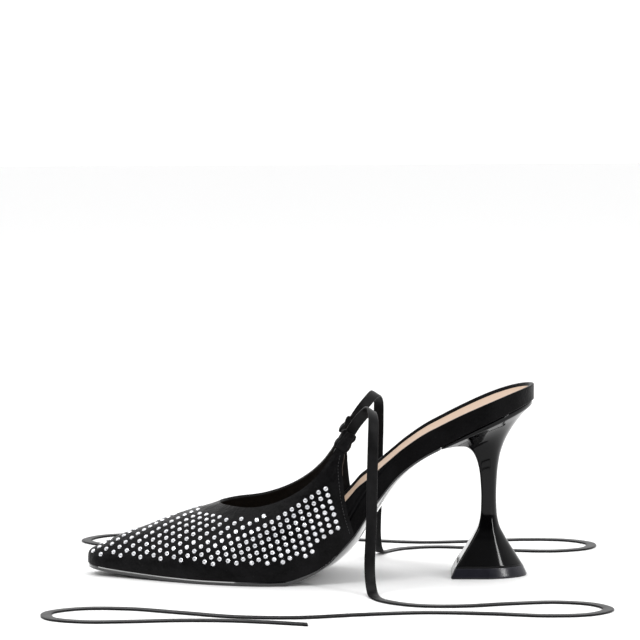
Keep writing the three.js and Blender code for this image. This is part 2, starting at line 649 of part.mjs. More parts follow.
/** Axes at a wing's tip: along the tie, across its width, and out of its face. */
function wingTip(side) {
  const front = TOPLINE.at(-1);
  const back = WING_BACK[0];
  const tip = {
    x: ((front.across + back.across) / 2) * LENGTH,
    z: ((front.up + back.up) / 2) * WING_HEIGHT,
  };
  const edge = new THREE.Vector2((front.across - back.across) * LENGTH, (front.up - back.up) * WING_HEIGHT);
  edge.normalize();
  const middle = CLEARANCE + WALL / 2;
  const end = skinAt(side, tip.x, tip.z, middle);
  end.x = tip.x;
  const below = skinAt(side, tip.x - edge.y * LOOP_LENGTH, tip.z + edge.x * LOOP_LENGTH, middle);
  below.x = tip.x - edge.y * LOOP_LENGTH;
  const along = end.clone().sub(below).normalize();
  const face = new THREE.Vector3(edge.x, 0, edge.y).cross(along).normalize();
  const width = along.clone().cross(face).normalize();
  return { end, along, face, width };
}

/** Rounded rectangle, as a path for a shape or its hole. */
function softRectangle(path, width, depth, radius) {
  const [w, d] = [width / 2, depth / 2];
  path.moveTo(-w + radius, -d);
  path.lineTo(w - radius, -d);
  path.absarc(w - radius, -d + radius, radius, -Math.PI / 2, 0, false);
  path.lineTo(w, d - radius);
  path.absarc(w - radius, d - radius, radius, 0, Math.PI / 2, false);
  path.lineTo(-w + radius, d);
  path.absarc(-w + radius, d - radius, radius, Math.PI / 2, Math.PI, false);
  path.lineTo(-w, -d + radius);
  path.absarc(-w + radius, -d + radius, radius, Math.PI, Math.PI * 1.5, false);
  return path;
}

/** Flat sleeve over a wing's tip, open at both ends, with the tie coming out of its top. */
function tieLoopGeometry(side) {
  const { end, along, width, face } = wingTip(side);
  const shape = softRectangle(new THREE.Shape(), LOOP_WIDTH, LOOP_DEPTH, LOOP_DEPTH * 0.4);
  const bore = LOOP_DEPTH - 2 * LOOP_WALL;
  shape.holes.push(softRectangle(new THREE.Path(), LOOP_WIDTH - 2 * LOOP_WALL, bore, bore * 0.35));
  const options = { depth: LOOP_LENGTH, bevelEnabled: false, curveSegments: 3 };
  const geometry = new THREE.ExtrudeGeometry(shape, options);
  geometry.translate(0, 0, -LOOP_LENGTH / 2);
  const facing = width.clone().cross(face).dot(along) > 0 ? face : face.clone().negate();
  geometry.applyMatrix4(new THREE.Matrix4().makeBasis(width, facing, along).setPosition(end));
  return geometry;
}

// Routes of the ties over the floor. Each is a list of places, from its landing to its free end.
const LATERAL_ROUTE = [
  [33, -57, 12], [34, -62, 3.2], [36, -71, 0.55], [43, -84, 0.55], [58, -94, 0.55], [80, -95, 0.55],
  [104, -88, 0.55], [126, -84, 0.55], [144, -90, 0.55], [151, -104, 0.55], [142, -117, 0.55],
  [122, -121, 0.55], [94, -116, 0.55], [62, -113, 0.55], [30, -119, 0.55], [0, -127, 0.55],
  [-30, -125, 0.55], [-58, -114, 0.55], [-84, -104, 0.55], [-108, -104, 0.55], [-122, -115, 0.55],
  [-119, -131, 0.55], [-102, -139, 0.55], [-80, -138, 0.55], [-58, -135, 0.55], [-36, -135, 0.55],
  [-14, -139, 0.55], [6, -145, 0.55],
];
const MEDIAL_ROUTE = [
  [33, 57, 12], [34, 62, 3.2], [37, 71, 0.55], [47, 82, 0.55], [64, 88, 0.55], [86, 84, 0.55],
  [108, 76, 0.55], [130, 74, 0.55], [147, 83, 0.55], [150, 99, 0.55], [138, 111, 0.55],
  [114, 114, 0.55], [86, 108, 0.55], [58, 104, 0.55], [30, 110, 0.55], [2, 120, 0.55],
  [-26, 122, 0.55], [-54, 113, 0.55], [-78, 100, 0.55], [-100, 92, 0.55], [-121, 96, 0.55],
  [-131, 110, 0.55], [-124, 125, 0.55], [-106, 132, 0.55], [-84, 130, 0.55], [-60, 128, 0.55],
  [-36, 131, 0.55], [-14, 137, 0.55],
];
const TIE_STEPS = 40;
const FLAT_LANDING = 14; // a tie turns flat to the floor over this height
const FLOOR_GAP = 0.05; // under a tie that lies on the floor

/** Places of a tie from inside its sleeve, out, over and down to its route on the floor. */
function tiePoints(side, route) {
  const { end, along } = wingTip(side);
  const start = end.clone().addScaledVector(along, 2 * CLEARANCE);
  const out = end.clone().addScaledVector(along, LOOP_LENGTH / 2 + 7);
  const place = (x, y, z) => new THREE.Vector3(x, y, z);
  const drop = [
    place(out.x + 4.5, out.y + side * 2.5, out.z + 5.5),
    place(out.x + 8, out.y + side * 9, out.z + 8.5),
    place(out.x + 9.5, out.y + side * 17, out.z + 5),
    place(out.x + 9.5, out.y + side * 22, out.z - 6),
    place(out.x + 9, out.y + side * 23.5, out.z - 24),
    place(out.x + 8.5, out.y + side * 23.5, out.z - 46),
  ];
  return [start, out, ...drop, ...route.map(([x, y, z]) => place(x, y, z))];
}

// Section of a tie with soft edges, in half widths and half thicknesses.
const TIE_SECTION = [
  [1, 0.4], [0.88, 1], [-0.88, 1], [-1, 0.4],
  [-1, -0.4], [-0.88, -1], [0.88, -1], [1, -0.4],
];

/** Flat tie: a ribbon that leaves edge-on to its wing and turns flat to the floor. */
function tieGeometry(side, route) {
  const curve = new THREE.CatmullRomCurve3(tiePoints(side, route), false, 'centripetal');
  const { width } = wingTip(side);
  const rings = Array.from({ length: TIE_STEPS + 1 }, (_, i) => {
    const centre = curve.getPoint(i / TIE_STEPS);
    const tangent = curve.getTangent(i / TIE_STEPS);
    const level = new THREE.Vector3(tangent.y, -tangent.x, 0).multiplyScalar(-side).normalize();
    const airborne = width.clone().multiplyScalar(Math.sign(width.x) * -1);
    const across = level.lerp(airborne, smoothstep(centre.z, 1, FLAT_LANDING));
    across.addScaledVector(tangent, -across.dot(tangent)).normalize();
    const over = tangent.clone().cross(across);
    return TIE_SECTION.map(([w, t]) => {
      const point = centre.clone();
      point.addScaledVector(across, (w * TIE_WIDTH) / 2).addScaledVector(over, (t * TIE_THICKNESS) / 2);
      point.z = Math.max(point.z, FLOOR_GAP);
      return point;
    });
  });
  return loft(rings);
}

const FINISH = {
  satin: { color: 0x17161a, roughness: 0.42, metalness: 0 },
  gloss: { color: 0x0b0b0d, roughness: 0.12, metalness: 0 },
  slate: { color: 0x26272d, roughness: 0.38, metalness: 0 },
  beige: { color: 0xcdb49c, roughness: 0.7, metalness: 0 },
};

/** Named mesh with a finish of its own. */
function piece(name, geometry, finish) {
  const mesh = new THREE.Mesh(geometry, new THREE.MeshStandardMaterial(finish));
  mesh.name = name;
  return mesh;
}

const shoe = new THREE.Group();
shoe.add(
  piece('outsole', outsoleGeometry(), FINISH.gloss),
  piece('footbed', footbedGeometry(), FINISH.satin),
  piece('sock_lining', sockGeometry(), FINISH.beige),
  piece('upper', upperGeometry(), FINISH.satin),
  piece('heel', heelGeometry(), FINISH.gloss),
  piece('heel_tip', heelTipGeometry(), FINISH.slate),
  piece('tie_loop_lateral', tieLoopGeometry(Side.LATERAL), FINISH.satin),
  piece('tie_loop_medial', tieLoopGeometry(Side.MEDIAL), FINISH.satin),
  piece('tie_lateral', tieGeometry(Side.LATERAL, LATERAL_ROUTE), FINISH.satin),
  piece('tie_medial', tieGeometry(Side.MEDIAL, MEDIAL_ROUTE), FINISH.satin),
);

export default shoe;
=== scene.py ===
"""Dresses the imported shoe: satin, stones, stitches, lacquer, loose ties, a pale floor and soft light.

Sizes are in millimetres in the shoe's own frame: the toe points to -X, the wearer's outer (lateral)
side is -Y, +Z is up and the floor is z = 0. Meshes are handed to Blender in metres.
"""

import logging
import math
from dataclasses import dataclass, field
from enum import IntEnum
from typing import Callable, Sequence

import bmesh
import bpy
import numpy as np
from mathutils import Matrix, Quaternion, Vector


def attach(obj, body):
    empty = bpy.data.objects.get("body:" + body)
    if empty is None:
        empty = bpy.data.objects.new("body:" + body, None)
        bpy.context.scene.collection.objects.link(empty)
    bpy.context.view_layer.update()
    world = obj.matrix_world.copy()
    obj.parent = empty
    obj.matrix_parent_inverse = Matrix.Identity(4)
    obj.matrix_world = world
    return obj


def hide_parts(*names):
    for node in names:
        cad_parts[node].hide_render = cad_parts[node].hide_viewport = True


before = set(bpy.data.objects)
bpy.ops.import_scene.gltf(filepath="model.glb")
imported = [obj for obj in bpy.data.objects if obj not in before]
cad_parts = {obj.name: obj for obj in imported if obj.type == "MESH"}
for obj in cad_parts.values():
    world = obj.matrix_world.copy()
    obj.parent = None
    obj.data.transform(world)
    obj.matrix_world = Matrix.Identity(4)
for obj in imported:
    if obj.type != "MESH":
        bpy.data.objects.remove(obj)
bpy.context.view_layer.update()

LOG = logging.getLogger("shoe")
MM = 0.001


class Side(IntEnum):
    """The two sides of the shoe, with the sign of Y."""

    LATERAL = -1
    MEDIAL = 1


@dataclass(frozen=True)
class Sizes:
    """Driving sizes of the shoe, the same as its solids."""

    length: float = 234.0
    ball_width: float = 74.0
    waist_width: float = 49.0
    seat_width: float = 53.5
    seat_height: float = 92.2
    throat_height: float = 36.5
    wing_height: float = 76.0
    toe_spring: float = 3.8
    wall: float = 1.5
    clearance: float = 0.3
    outsole_thickness: float = 2.2
    outsole_setback: float = 0.4
    waist_edge: float = 1.0
    waist_belly: float = 3.6
    breast_belly: float = 0.55
    waist_setback: float = 1.2
    bed_thickness: float = 6.5
    band_height: float = 11.3
    rim_width: float = 2.2
    rim_height: float = 2.4
    rim_rounding: float = 0.7
    sock_thickness: float = 1.0
    nose_length: float = 5.0
    nose_bluntness: float = 0.26
    seat_rounding: float = 26.5
    tip_thickness: float = 5.4
    heel_setback: float = 1.0
    stem_depth: float = 7.9
    stem_width: float = 9.6
    foot_depth: float = 39.4
    foot_width: float = 30.6
    heel_axis_setback: float = 23.6
    breast_share: float = 0.792
    loop_length: float = 8.0
    loop_width: float = 8.2
    loop_depth: float = 4.8
    tie_width: float = 5.5
    tie_thickness: float = 1.0


SIZE = Sizes()


def columns(names: str, *rows: tuple[float, ...]) -> dict[str, np.ndarray]:
    """A short table as named columns.

    Args:
        names: the columns' names, with spaces between them.
        rows: one tuple for each row.

    Returns:
        Each column as an array, under its name.
    """
    return dict(zip(names.split(), np.array(rows, float).T))


BALL = SIZE.ball_width
WAIST = SIZE.waist_width
SEAT = SIZE.seat_width
THROAT = SIZE.throat_height
WING = SIZE.wing_height

PLAN = columns(
    "at lateral medial of",
    (0.0, 0.041, 0.122, BALL),
    (0.05, 0.108, 0.176, BALL),
    (0.12, 0.209, 0.264, BALL),
    (0.2, 0.324, 0.365, BALL),
    (0.28, 0.423, 0.455, BALL),
    (0.35, 0.479, 0.491, BALL),
    (0.4, 0.499, 0.488, BALL),
    (0.45, 0.493, 0.457, BALL),
    (0.5, 0.466, 0.414, BALL),
    (0.56, 0.641, 0.559, WAIST),
    (0.63, 0.571, 0.502, WAIST),
    (0.72, 0.527, 0.482, WAIST),
    (0.8, 0.486, 0.467, SEAT),
    (0.88, 0.501, 0.497, SEAT),
    (1.0, 0.482, 0.482, SEAT),
)

UNDERSIDE = columns(
    "at rise spring",
    (0.0, 0.0, 1.0),
    (0.044, 0.0, 0.63),
    (0.117, 0.0, 0.32),
    (0.203, 0.0, 0.08),
    (0.268, 0.0, 0.0),
    (0.405, 0.0, 0.0),
    (0.451, 0.004, 0.0),
    (0.486, 0.028, 0.0),
    (0.519, 0.062, 0.0),
    (0.546, 0.106, 0.0),
    (0.57, 0.166, 0.0),
    (0.601, 0.252, 0.0),
    (0.628, 0.358, 0.0),
    (0.6615, 0.478, 0.0),
    (0.695, 0.582, 0.0),
    (0.7295, 0.656, 0.0),
    (0.763, 0.711, 0.0),
    (0.793, 0.751, 0.0),
    (0.864, 0.846, 0.0),
    (0.932, 0.929, 0.0),
    (0.974, 0.975, 0.0),
    (1.0, 1.0, 0.0),
)

BED = columns(
    "at core band",
    (0.0, 0.37, 0.21),
    (0.405, 0.4, 0.23),
    (0.451, 0.85, 0.49),
    (0.486, 1.36, 0.88),
    (0.519, 1.82, 1.29),
    (0.546, 2.13, 1.66),
    (0.57, 2.27, 1.98),
    (0.601, 2.29, 2.02),
    (0.628, 1.97, 1.66),
    (0.6615, 1.55, 1.29),
    (0.695, 1.15, 1.05),
    (0.7295, 1.02, 1.0),
    (0.793, 1.0, 1.0),
    (0.864, 0.92, 0.95),
    (0.932, 0.86, 0.87),
    (1.0, 0.8, 0.725),
)

SECTIONS = columns(
    "at crest of bulge lift crown",
    (0.0, 0.24, THROAT, 0.007, 0.6, 0.5),
    (0.014, 0.27, THROAT, 0.009, 0.6, 0.5),
    (0.06, 0.44, THROAT, 0.013, 0.6, 0.5),
    (0.14, 0.66, THROAT, 0.02, 0.6, 0.52),
    (0.21, 0.845, THROAT, 0.027, 0.6, 0.54),
    (0.25, 0.925, THROAT, 0.031, 0.6, 0.55),
    (0.288, 1.0, THROAT, 0.034, 0.6, 0.56),
    (0.35, 0.58, WING, 0.04, 0.6, 0.62),
    (0.4, 0.667, WING, 0.043, 0.6, 0.63),
    (0.45, 0.793, WING, 0.047, 0.6, 0.64),
    (0.5, 0.987, WING, 0.068, 0.6, 0.66),
    (0.56, 1.387, WING, 0.12, 0.6, 0.75),
    (0.66, 1.6, WING, 0.15, 0.6, 0.75),
)

TOPLINE = columns(
    "across up of",
    (-0.2062, 1.066, THROAT),
    (-0.191, 1.06, THROAT),
    (-0.1755, 1.063, THROAT),
    (-0.1385, 1.066, THROAT),
    (-0.1155, 1.079, THROAT),
    (-0.0812, 0.543, WING),
    (-0.0481, 0.583, WING),
    (-0.015, 0.64, WING),
    (0.0184, 0.724, WING),
    (0.0407, 0.807, WING),
    (0.0617, 0.913, WING),
    (0.0753, 0.984, WING),
)

WING_BACK = columns(
    "across up",
    (0.0923, 0.951),
    (0.0847, 0.896),
    (0.079, 0.79),
    (0.0815, 0.69),
    (0.0844, 0.598),
    (0.0911, 0.488),
    (0.1048, 0.335),
)

HEEL_RINGS = columns(
    "at cup foot front back",
    (0.0, 1.0, 0.0, 0.748, 0.976),
    (0.11, 0.68, 0.0, 0.752, 0.907),
    (0.22, 0.42, 0.0, 0.746, 0.834),
    (0.33, 0.22, 0.0, 0.714, 0.757),
    (0.44, 0.09, 0.0, 0.648, 0.672),
    (0.55, 0.025, 0.0, 0.563, 0.57),
    (0.67, 0.0, 0.0, 0.45, 0.45),
    (0.78, 0.0, 0.015, 0.365, 0.365),
    (0.89, 0.0, 0.09, 0.29, 0.29),
    (1.0, 0.0, 0.3, 0.215, 0.215),
)

# Edges of the stone field in side view: millimetres along the shoe and up from the floor.
FIELD_TOP = columns(
    "x z",
    (-60.0, 38.0),
    (-57.0, 35.3),
    (-52.0, 34.6),
    (-44.0, 34.5),
    (-33.0, 35.3),
    (-22.0, 36.2),
    (-14.0, 36.4),
    (-10.8, 38.6),
    (-4.0, 42.8),
    (3.2, 47.0),
    (10.2, 51.8),
    (17.0, 52.4),
)
FIELD_BOTTOM = columns(
    "x z",
    (-113.0, 11.6),
    (-100.0, 11.4),
    (-92.0, 10.4),
    (-75.0, 10.8),
    (-63.0, 10.3),
    (-50.0, 11.0),
    (-37.0, 10.8),
    (-29.0, 11.3),
    (-11.5, 12.4),
    (0.8, 15.4),
    (4.0, 18.0),
    (9.4, 23.4),
    (16.0, 28.2),
)

# Places of the ties over the floor, listed from landing to free end.
LATERAL_ROUTE = (
    (33, -57, 12), (34, -62, 3.2), (36, -71, 0.55), (43, -84, 0.55), (58, -94, 0.55), (80, -95, 0.55),
    (104, -88, 0.55), (126, -84, 0.55), (144, -90, 0.55), (151, -104, 0.55), (142, -117, 0.55),
    (122, -121, 0.55), (94, -116, 0.55), (62, -113, 0.55), (30, -119, 0.55), (0, -127, 0.55),
    (-30, -125, 0.55), (-58, -114, 0.55), (-84, -104, 0.55), (-108, -104, 0.55), (-122, -115, 0.55),
    (-119, -131, 0.55), (-102, -139, 0.55), (-80, -138, 0.55), (-58, -135, 0.55), (-36, -135, 0.55),
    (-14, -139, 0.55), (6, -145, 0.55),
)
MEDIAL_ROUTE = (
    (33, 57, 12), (34, 62, 3.2), (37, 71, 0.55), (47, 82, 0.55), (64, 88, 0.55), (86, 84, 0.55),
    (108, 76, 0.55), (130, 74, 0.55), (147, 83, 0.55), (150, 99, 0.55), (138, 111, 0.55),
    (114, 114, 0.55), (86, 108, 0.55), (58, 104, 0.55), (30, 110, 0.55), (2, 120, 0.55),
    (-26, 122, 0.55), (-54, 113, 0.55), (-78, 100, 0.55), (-100, 92, 0.55), (-121, 96, 0.55),
    (-131, 110, 0.55), (-124, 125, 0.55), (-106, 132, 0.55), (-84, 130, 0.55), (-60, 128, 0.55),
    (-36, 131, 0.55), (-14, 137, 0.55),
)


class Track:
    """Smooth curve through a table's column that never swings past its neighbours."""

    def __init__(self, at: np.ndarray, value: np.ndarray) -> None:
        """Takes the places of the rows and the values there."""
        self.at = np.asarray(at, float)
        self.value = np.asarray(value, float)
        slope = np.diff(self.value) / np.diff(self.at)
        before, after = slope[:-1], slope[1:]
        agree = before * after > 0
        total = np.where(agree, before + after, 1.0)
        inner = np.where(agree, 2 * before * after / total, 0.0)
        self.tangent = np.concatenate([slope[:1], inner, slope[-1:]])

    def __call__(self, place: np.ndarray | float) -> np.ndarray:
        """The curve's value at each place."""
        s = np.clip(place, self.at[0], self.at[-1])
        i = np.clip(np.searchsorted(self.at, s, side="right") - 1, 0, len(self.at) - 2)
        span = self.at[i + 1] - self.at[i]
        t = (s - self.at[i]) / span
        h00 = (1 + 2 * t) * (1 - t) ** 2
        h10 = t * (1 - t) ** 2
        h01 = t * t * (3 - 2 * t)
        h11 = t * t * (t - 1)
        ends = h00 * self.value[i] + h01 * self.value[i + 1]
        return ends + span * (h10 * self.tangent[i] + h11 * self.tangent[i + 1])


def smoothstep(value: np.ndarray | float, low: float, high: float) -> np.ndarray:
    """0 below low, 1 above high, and a smooth rise between them."""
    t = np.clip((np.asarray(value, float) - low) / (high - low), 0, 1)
    return t * t * (3 - 2 * t)


def lerp(a: np.ndarray | float, b: np.ndarray | float, t: np.ndarray | float) -> np.ndarray:
    """Straight mix of a and b."""
    return a + (b - a) * t


TINY = 1e-4


class Last:
    """The form inside the shoe. Places on it are a share of its length and a way around it."""

    def __init__(self, size: Sizes) -> None:
        """Works the last out from the shoe's sizes."""
        self.size = size
        self.length = size.length - size.wall - size.clearance
        self.back = size.length / 2
        self.toe = self.back - self.length
        self.nose = size.nose_length / self.length
        self.seat = 1 - size.seat_rounding / self.length
        self._lateral = Track(PLAN["at"], PLAN["lateral"] * PLAN["of"])
        self._medial = Track(PLAN["at"], PLAN["medial"] * PLAN["of"])
        self._rise = Track(UNDERSIDE["at"], UNDERSIDE["rise"])
        self._spring = Track(UNDERSIDE["at"], UNDERSIDE["spring"])
        self._core = Track(BED["at"], BED["core"] * size.bed_thickness)
        self._band = Track(BED["at"], BED["band"] * size.band_height)
        self._crest = Track(SECTIONS["at"], SECTIONS["crest"] * SECTIONS["of"])
        self._bulge = Track(SECTIONS["at"], SECTIONS["bulge"] * size.ball_width)
        self._lift = Track(SECTIONS["at"], SECTIONS["lift"])
        self._crown = Track(SECTIONS["at"], SECTIONS["crown"])

    def x(self, share: np.ndarray | float) -> np.ndarray:
        """Place along the shoe of a share of the last."""
        return self.toe + np.asarray(share, float) * self.length

    def share(self, x: np.ndarray | float) -> np.ndarray:
        """Share of the last at a place along the shoe."""
        return (np.asarray(x, float) - self.toe) / self.length

    def opening(self, share: np.ndarray) -> np.ndarray:
        """How far the outline has opened from the rounded toe tip or seat, 0 to 1."""
        nose = np.sqrt(np.clip(1 - (1 - share / self.nose) ** 2, 0, 1))
        seat = np.sqrt(np.clip(1 - ((share - self.seat) / (1 - self.seat)) ** 2, 0, 1))
        return np.where(share < self.nose, nose, np.where(share > self.seat, seat, 1.0))

    def breadth(self, share: np.ndarray) -> tuple[np.ndarray, np.ndarray]:
        """Middle of the last and its half width."""
        lateral, medial = self._lateral(share), self._medial(share)
        return (medial - lateral) / 2, (medial + lateral) / 2 * self.opening(share)

    def underside(self, share: np.ndarray | float) -> np.ndarray:
        """Height of the footbed's underside."""
        size = self.size
        thickness = size.outsole_thickness
        lifted = self._rise(share) * (size.seat_height - thickness)
        return thickness + lifted + self._spring(share) * size.toe_spring

    def outline(self, side: Side, share: np.ndarray, out: np.ndarray | float) -> np.ndarray:
        """Points of the outline from above, moved out along its normal.

        Args:
            side: the side of the shoe.
            share: places along the last.
            out: how far each point moves out, in millimetres.

        Returns:
            An array of (x, y) points.
        """
        share = np.asarray(share, float)

        def near(s: np.ndarray) -> np.ndarray:
            middle, half = self.breadth(s)
            return np.stack([self.x(s), middle + side * half], -1)

        ahead = near(np.minimum(share + TINY, 1)) - near(np.maximum(share - TINY, 0))
        ahead /= np.linalg.norm(ahead, axis=-1, keepdims=True)
        normal = np.stack([-ahead[..., 1] * side, ahead[..., 0] * side], -1)
        return near(share) + normal * np.asarray(out, float)[..., None]

    def surface(self, share: np.ndarray, around: np.ndarray) -> np.ndarray:
        """Points of the last's surface; around runs 0 to 1 from the lateral edge over the crest."""
        middle, half = self.breadth(share)
        side = np.where(around < 0.5, -1.0, 1.0)
        t = 1 - np.abs(around - 0.5) * 2
        base = self.underside(share)
        opening = self.opening(share)
        open_height = opening ** self.size.nose_bluntness
        spring = self._spring(share) * self.size.toe_spring
        tall = (self._crest(share) + spring - base) * open_height
        a, b, c, d = (1 - t) ** 3, 3 * t * (1 - t) ** 2, 3 * t * t * (1 - t), t**3
        leaning = half + self._bulge(share) * opening
        across = a * half + b * leaning + c * half * self._crown(share)
        up = base + tall * (b * self._lift(share) + c + d)
        return np.stack([self.x(share), middle + side * across, up], -1)

    def skin(self, share: np.ndarray, around: np.ndarray, out: np.ndarray | float) -> np.ndarray:
        """Points of the surface moved out along its normal."""
        share, around = np.broadcast_arrays(np.asarray(share, float), np.asarray(around, float))

        def step(s: np.ndarray, a: np.ndarray) -> np.ndarray:
            return self.surface(np.clip(s, TINY, 1 - TINY), np.clip(a, 0, 1))

        along = step(share + TINY, around) - step(share - TINY, around)
        over = step(share, around + TINY) - step(share, around - TINY)
        normal = np.cross(along, over)
        normal /= np.linalg.norm(normal, axis=-1, keepdims=True)
        return self.surface(share, around) + normal * np.asarray(out, float)[..., None]

    def solve(self, side: Side, x: np.ndarray, z: np.ndarray, out: float) -> tuple[np.ndarray, np.ndarray]:
        """Finds the places on one side's skin that show at x and z in side view.

        Args:
            side: the side of the shoe.
            x: places along the shoe.
            z: heights above the floor.
            out: how far the skin lies outside the last.

        Returns:
            The share and the way around of each place.
        """
        share = self.share(x)
        around = np.zeros_like(share)
        for _ in range(4):
            low, high = np.zeros_like(share), np.ones_like(share)
            for _ in range(24):
                t = (low + high) / 2
                under = self.skin(share, way(side, t), out)[..., 2] < z
                low, high = np.where(under, t, low), np.where(under, high, t)
            around = way(side, low)
            share = share + (x - self.skin(share, around, out)[..., 0]) / self.length
        return share, around

    def bed_floor(self, share: np.ndarray, place: np.ndarray) -> np.ndarray:
        """Footbed under the sock at a place across it, from -1 lateral to 1 medial."""
        middle = self._core(share)
        edge = np.maximum(middle, self._band(share) - self.size.rim_height)
        return self.underside(share) + self.size.clearance + lerp(middle, edge, np.abs(place) ** 3)

    def rim(self, share: np.ndarray) -> np.ndarray:
        """Height of the band's top."""
        band = self.underside(share) + self.size.clearance + self._band(share)
        return np.maximum(band, self.bed_floor(share, np.ones_like(share)))


def way(side: Side, t: np.ndarray | float) -> np.ndarray:
    """Way around the last for t, which runs from a side's edge, 0, to the crest, 1."""
    t = np.asarray(t, float)
    return t / 2 if side == Side.LATERAL else 1 - t / 2


LAST = Last(SIZE)
SKIN = SIZE.clearance + SIZE.wall


@dataclass(frozen=True)
class Grain:
    """Fine uneven relief, with its size and depth in millimetres."""

    size: float
    depth: float
    detail: float = 3.0

    def height(self, tree: bpy.types.NodeTree, place: bpy.types.Node) -> bpy.types.NodeSocket:
        """Adds the pattern and returns its height."""
        noise = tree.nodes.new("ShaderNodeTexNoise")
        noise.inputs["Scale"].default_value = 1 / (self.size * MM)
        noise.inputs["Detail"].default_value = self.detail
        tree.links.new(place.outputs["Object"], noise.inputs["Vector"])
        return noise.outputs["Fac"]


@dataclass(frozen=True)
class Weave:
    """Crossing threads of a woven satin, with their pitch and depth in millimetres."""

    thread: float
    depth: float

    def height(self, tree: bpy.types.NodeTree, place: bpy.types.Node) -> bpy.types.NodeSocket:
        """Adds both directions of thread and returns their height."""
        crossing = tree.nodes.new("ShaderNodeMath")
        crossing.operation = "ADD"
        for socket, direction, share in ((0, "X", 1.0), (1, "Z", 1.6)):
            wave = tree.nodes.new("ShaderNodeTexWave")
            wave.bands_direction = direction
            wave.inputs["Scale"].default_value = 2 * math.pi / (20 * self.thread * share * MM)
            wave.inputs["Distortion"].default_value = 0.6
            tree.links.new(place.outputs["Object"], wave.inputs["Vector"])
            tree.links.new(wave.outputs["Fac"], crossing.inputs[socket])
        return crossing.outputs["Value"]


@dataclass(frozen=True)
class Finish:
    """A surface finish: shader values, an uneven second tone and layers of fine relief."""

    name: str
    color: tuple[float, float, float]
    roughness: float
    specular: float = 0.5
    metallic: float = 0.0
    coat: float = 0.0
    coat_roughness: float = 0.05
    sheen: float = 0.0
    tone: tuple[float, float, float] | None = None
    uneven: float = 0.0
    patch: float = 9.0
    relief: tuple[Grain | Weave, ...] = ()

    def material(self) -> bpy.types.Material:
        """Makes the material, or returns the one made before."""
        known = bpy.data.materials.get(self.name)
        if known:
            return known
        material = bpy.data.materials.new(self.name)
        material.use_nodes = True
        tree = material.node_tree
        shader = tree.nodes["Principled BSDF"]
        shader.inputs["Base Color"].default_value = (*self.color, 1)
        shader.inputs["Roughness"].default_value = self.roughness
        shader.inputs["Metallic"].default_value = self.metallic
        shader.inputs["Specular IOR Level"].default_value = self.specular
        shader.inputs["Coat Weight"].default_value = self.coat
        shader.inputs["Coat Roughness"].default_value = self.coat_roughness
        shader.inputs["Sheen Weight"].default_value = self.sheen
        place = tree.nodes.new("ShaderNodeTexCoord")
        self._patches(tree, place, shader)
        normal = None
        for layer in self.relief:
            bump = tree.nodes.new("ShaderNodeBump")
            bump.inputs["Distance"].default_value = layer.depth * MM
            tree.links.new(layer.height(tree, place), bump.inputs["Height"])
            if normal:
                tree.links.new(normal, bump.inputs["Normal"])
            normal = bump.outputs["Normal"]
        if normal:
            tree.links.new(normal, shader.inputs["Normal"])
        return material

    def _patches(self, tree: bpy.types.NodeTree, place: bpy.types.Node, shader: bpy.types.Node) -> None:
        """Lets colour and gloss drift from patch to patch."""
        if not (self.tone or self.uneven):
            return
        drift = Grain(self.patch, 0.0, 4.0).height(tree, place)
        if self.tone:
            ramp = tree.nodes.new("ShaderNodeValToRGB")
            ramp.color_ramp.elements[0].position = 0.35
            ramp.color_ramp.elements[0].color = (*self.color, 1)
            ramp.color_ramp.elements[1].position = 0.68
            ramp.color_ramp.elements[1].color = (*self.tone, 1)
            tree.links.new(drift, ramp.inputs["Fac"])
            tree.links.new(ramp.outputs["Color"], shader.inputs["Base Color"])
        if self.uneven:
            span = tree.nodes.new("ShaderNodeMapRange")
            span.inputs["To Min"].default_value = self.roughness - self.uneven
            span.inputs["To Max"].default_value = self.roughness + self.uneven
            tree.links.new(drift, span.inputs["Value"])
            tree.links.new(span.outputs["Result"], shader.inputs["Roughness"])


SATIN = Finish("upper_satin", (0.001, 0.0009, 0.0011), 0.34, 0.09, sheen=0.004, tone=(0.0046, 0.0043, 0.005),
               uneven=0.12, patch=11, relief=(Grain(14, 1.9), Grain(1.1, 0.16), Weave(0.34, 0.022)))
BAND_SATIN = Finish("band_satin", (0.0009, 0.0008, 0.001), 0.36, 0.06, sheen=0.004,
                    tone=(0.0028, 0.0027, 0.0031), uneven=0.1, patch=10,
                    relief=(Grain(11, 0.7), Grain(1.1, 0.15), Weave(0.34, 0.022)))
RIBBON_SATIN = Finish("ribbon_satin", (0.0018, 0.0017, 0.002), 0.36, 0.14, sheen=0.008,
                      tone=(0.0056, 0.0053, 0.006), uneven=0.09, patch=5,
                      relief=(Grain(7, 0.14), Weave(0.3, 0.02)))
LINING = Finish("black_lining", (0.005, 0.0048, 0.0049), 0.75, 0.12, tone=(0.009, 0.0085, 0.0085), patch=3,
                relief=(Grain(0.6, 0.04), Weave(0.4, 0.02)))
THREAD = Finish("black_thread", (0.022, 0.022, 0.024), 0.42, 0.4, relief=(Grain(0.3, 0.02),))
SOCK = Finish("beige_sock_leather", (0.53, 0.385, 0.285), 0.58, 0.3, tone=(0.56, 0.41, 0.306), uneven=0.06, patch=7,
              relief=(Grain(22, 0.25), Grain(0.9, 0.03)))
SOLE = Finish("gloss_sole", (0.003, 0.003, 0.0036), 0.13, 0.5, coat=1.0, coat_roughness=0.05,
              tone=(0.006, 0.006, 0.007), uneven=0.04, patch=8, relief=(Grain(14, 0.08),))
LACQUER = Finish("black_lacquer", (0.0008, 0.0008, 0.001), 0.09, 0.14, coat=0.1, coat_roughness=0.03,
                 tone=(0.002, 0.002, 0.0025), uneven=0.02, patch=14, relief=(Grain(26, 0.1),))
TOP_PIECE = Finish("slate_rubber", (0.0105, 0.0105, 0.0155), 0.2, 0.4, tone=(0.014, 0.014, 0.02),
                   uneven=0.05, patch=5, relief=(Grain(1.4, 0.02),))
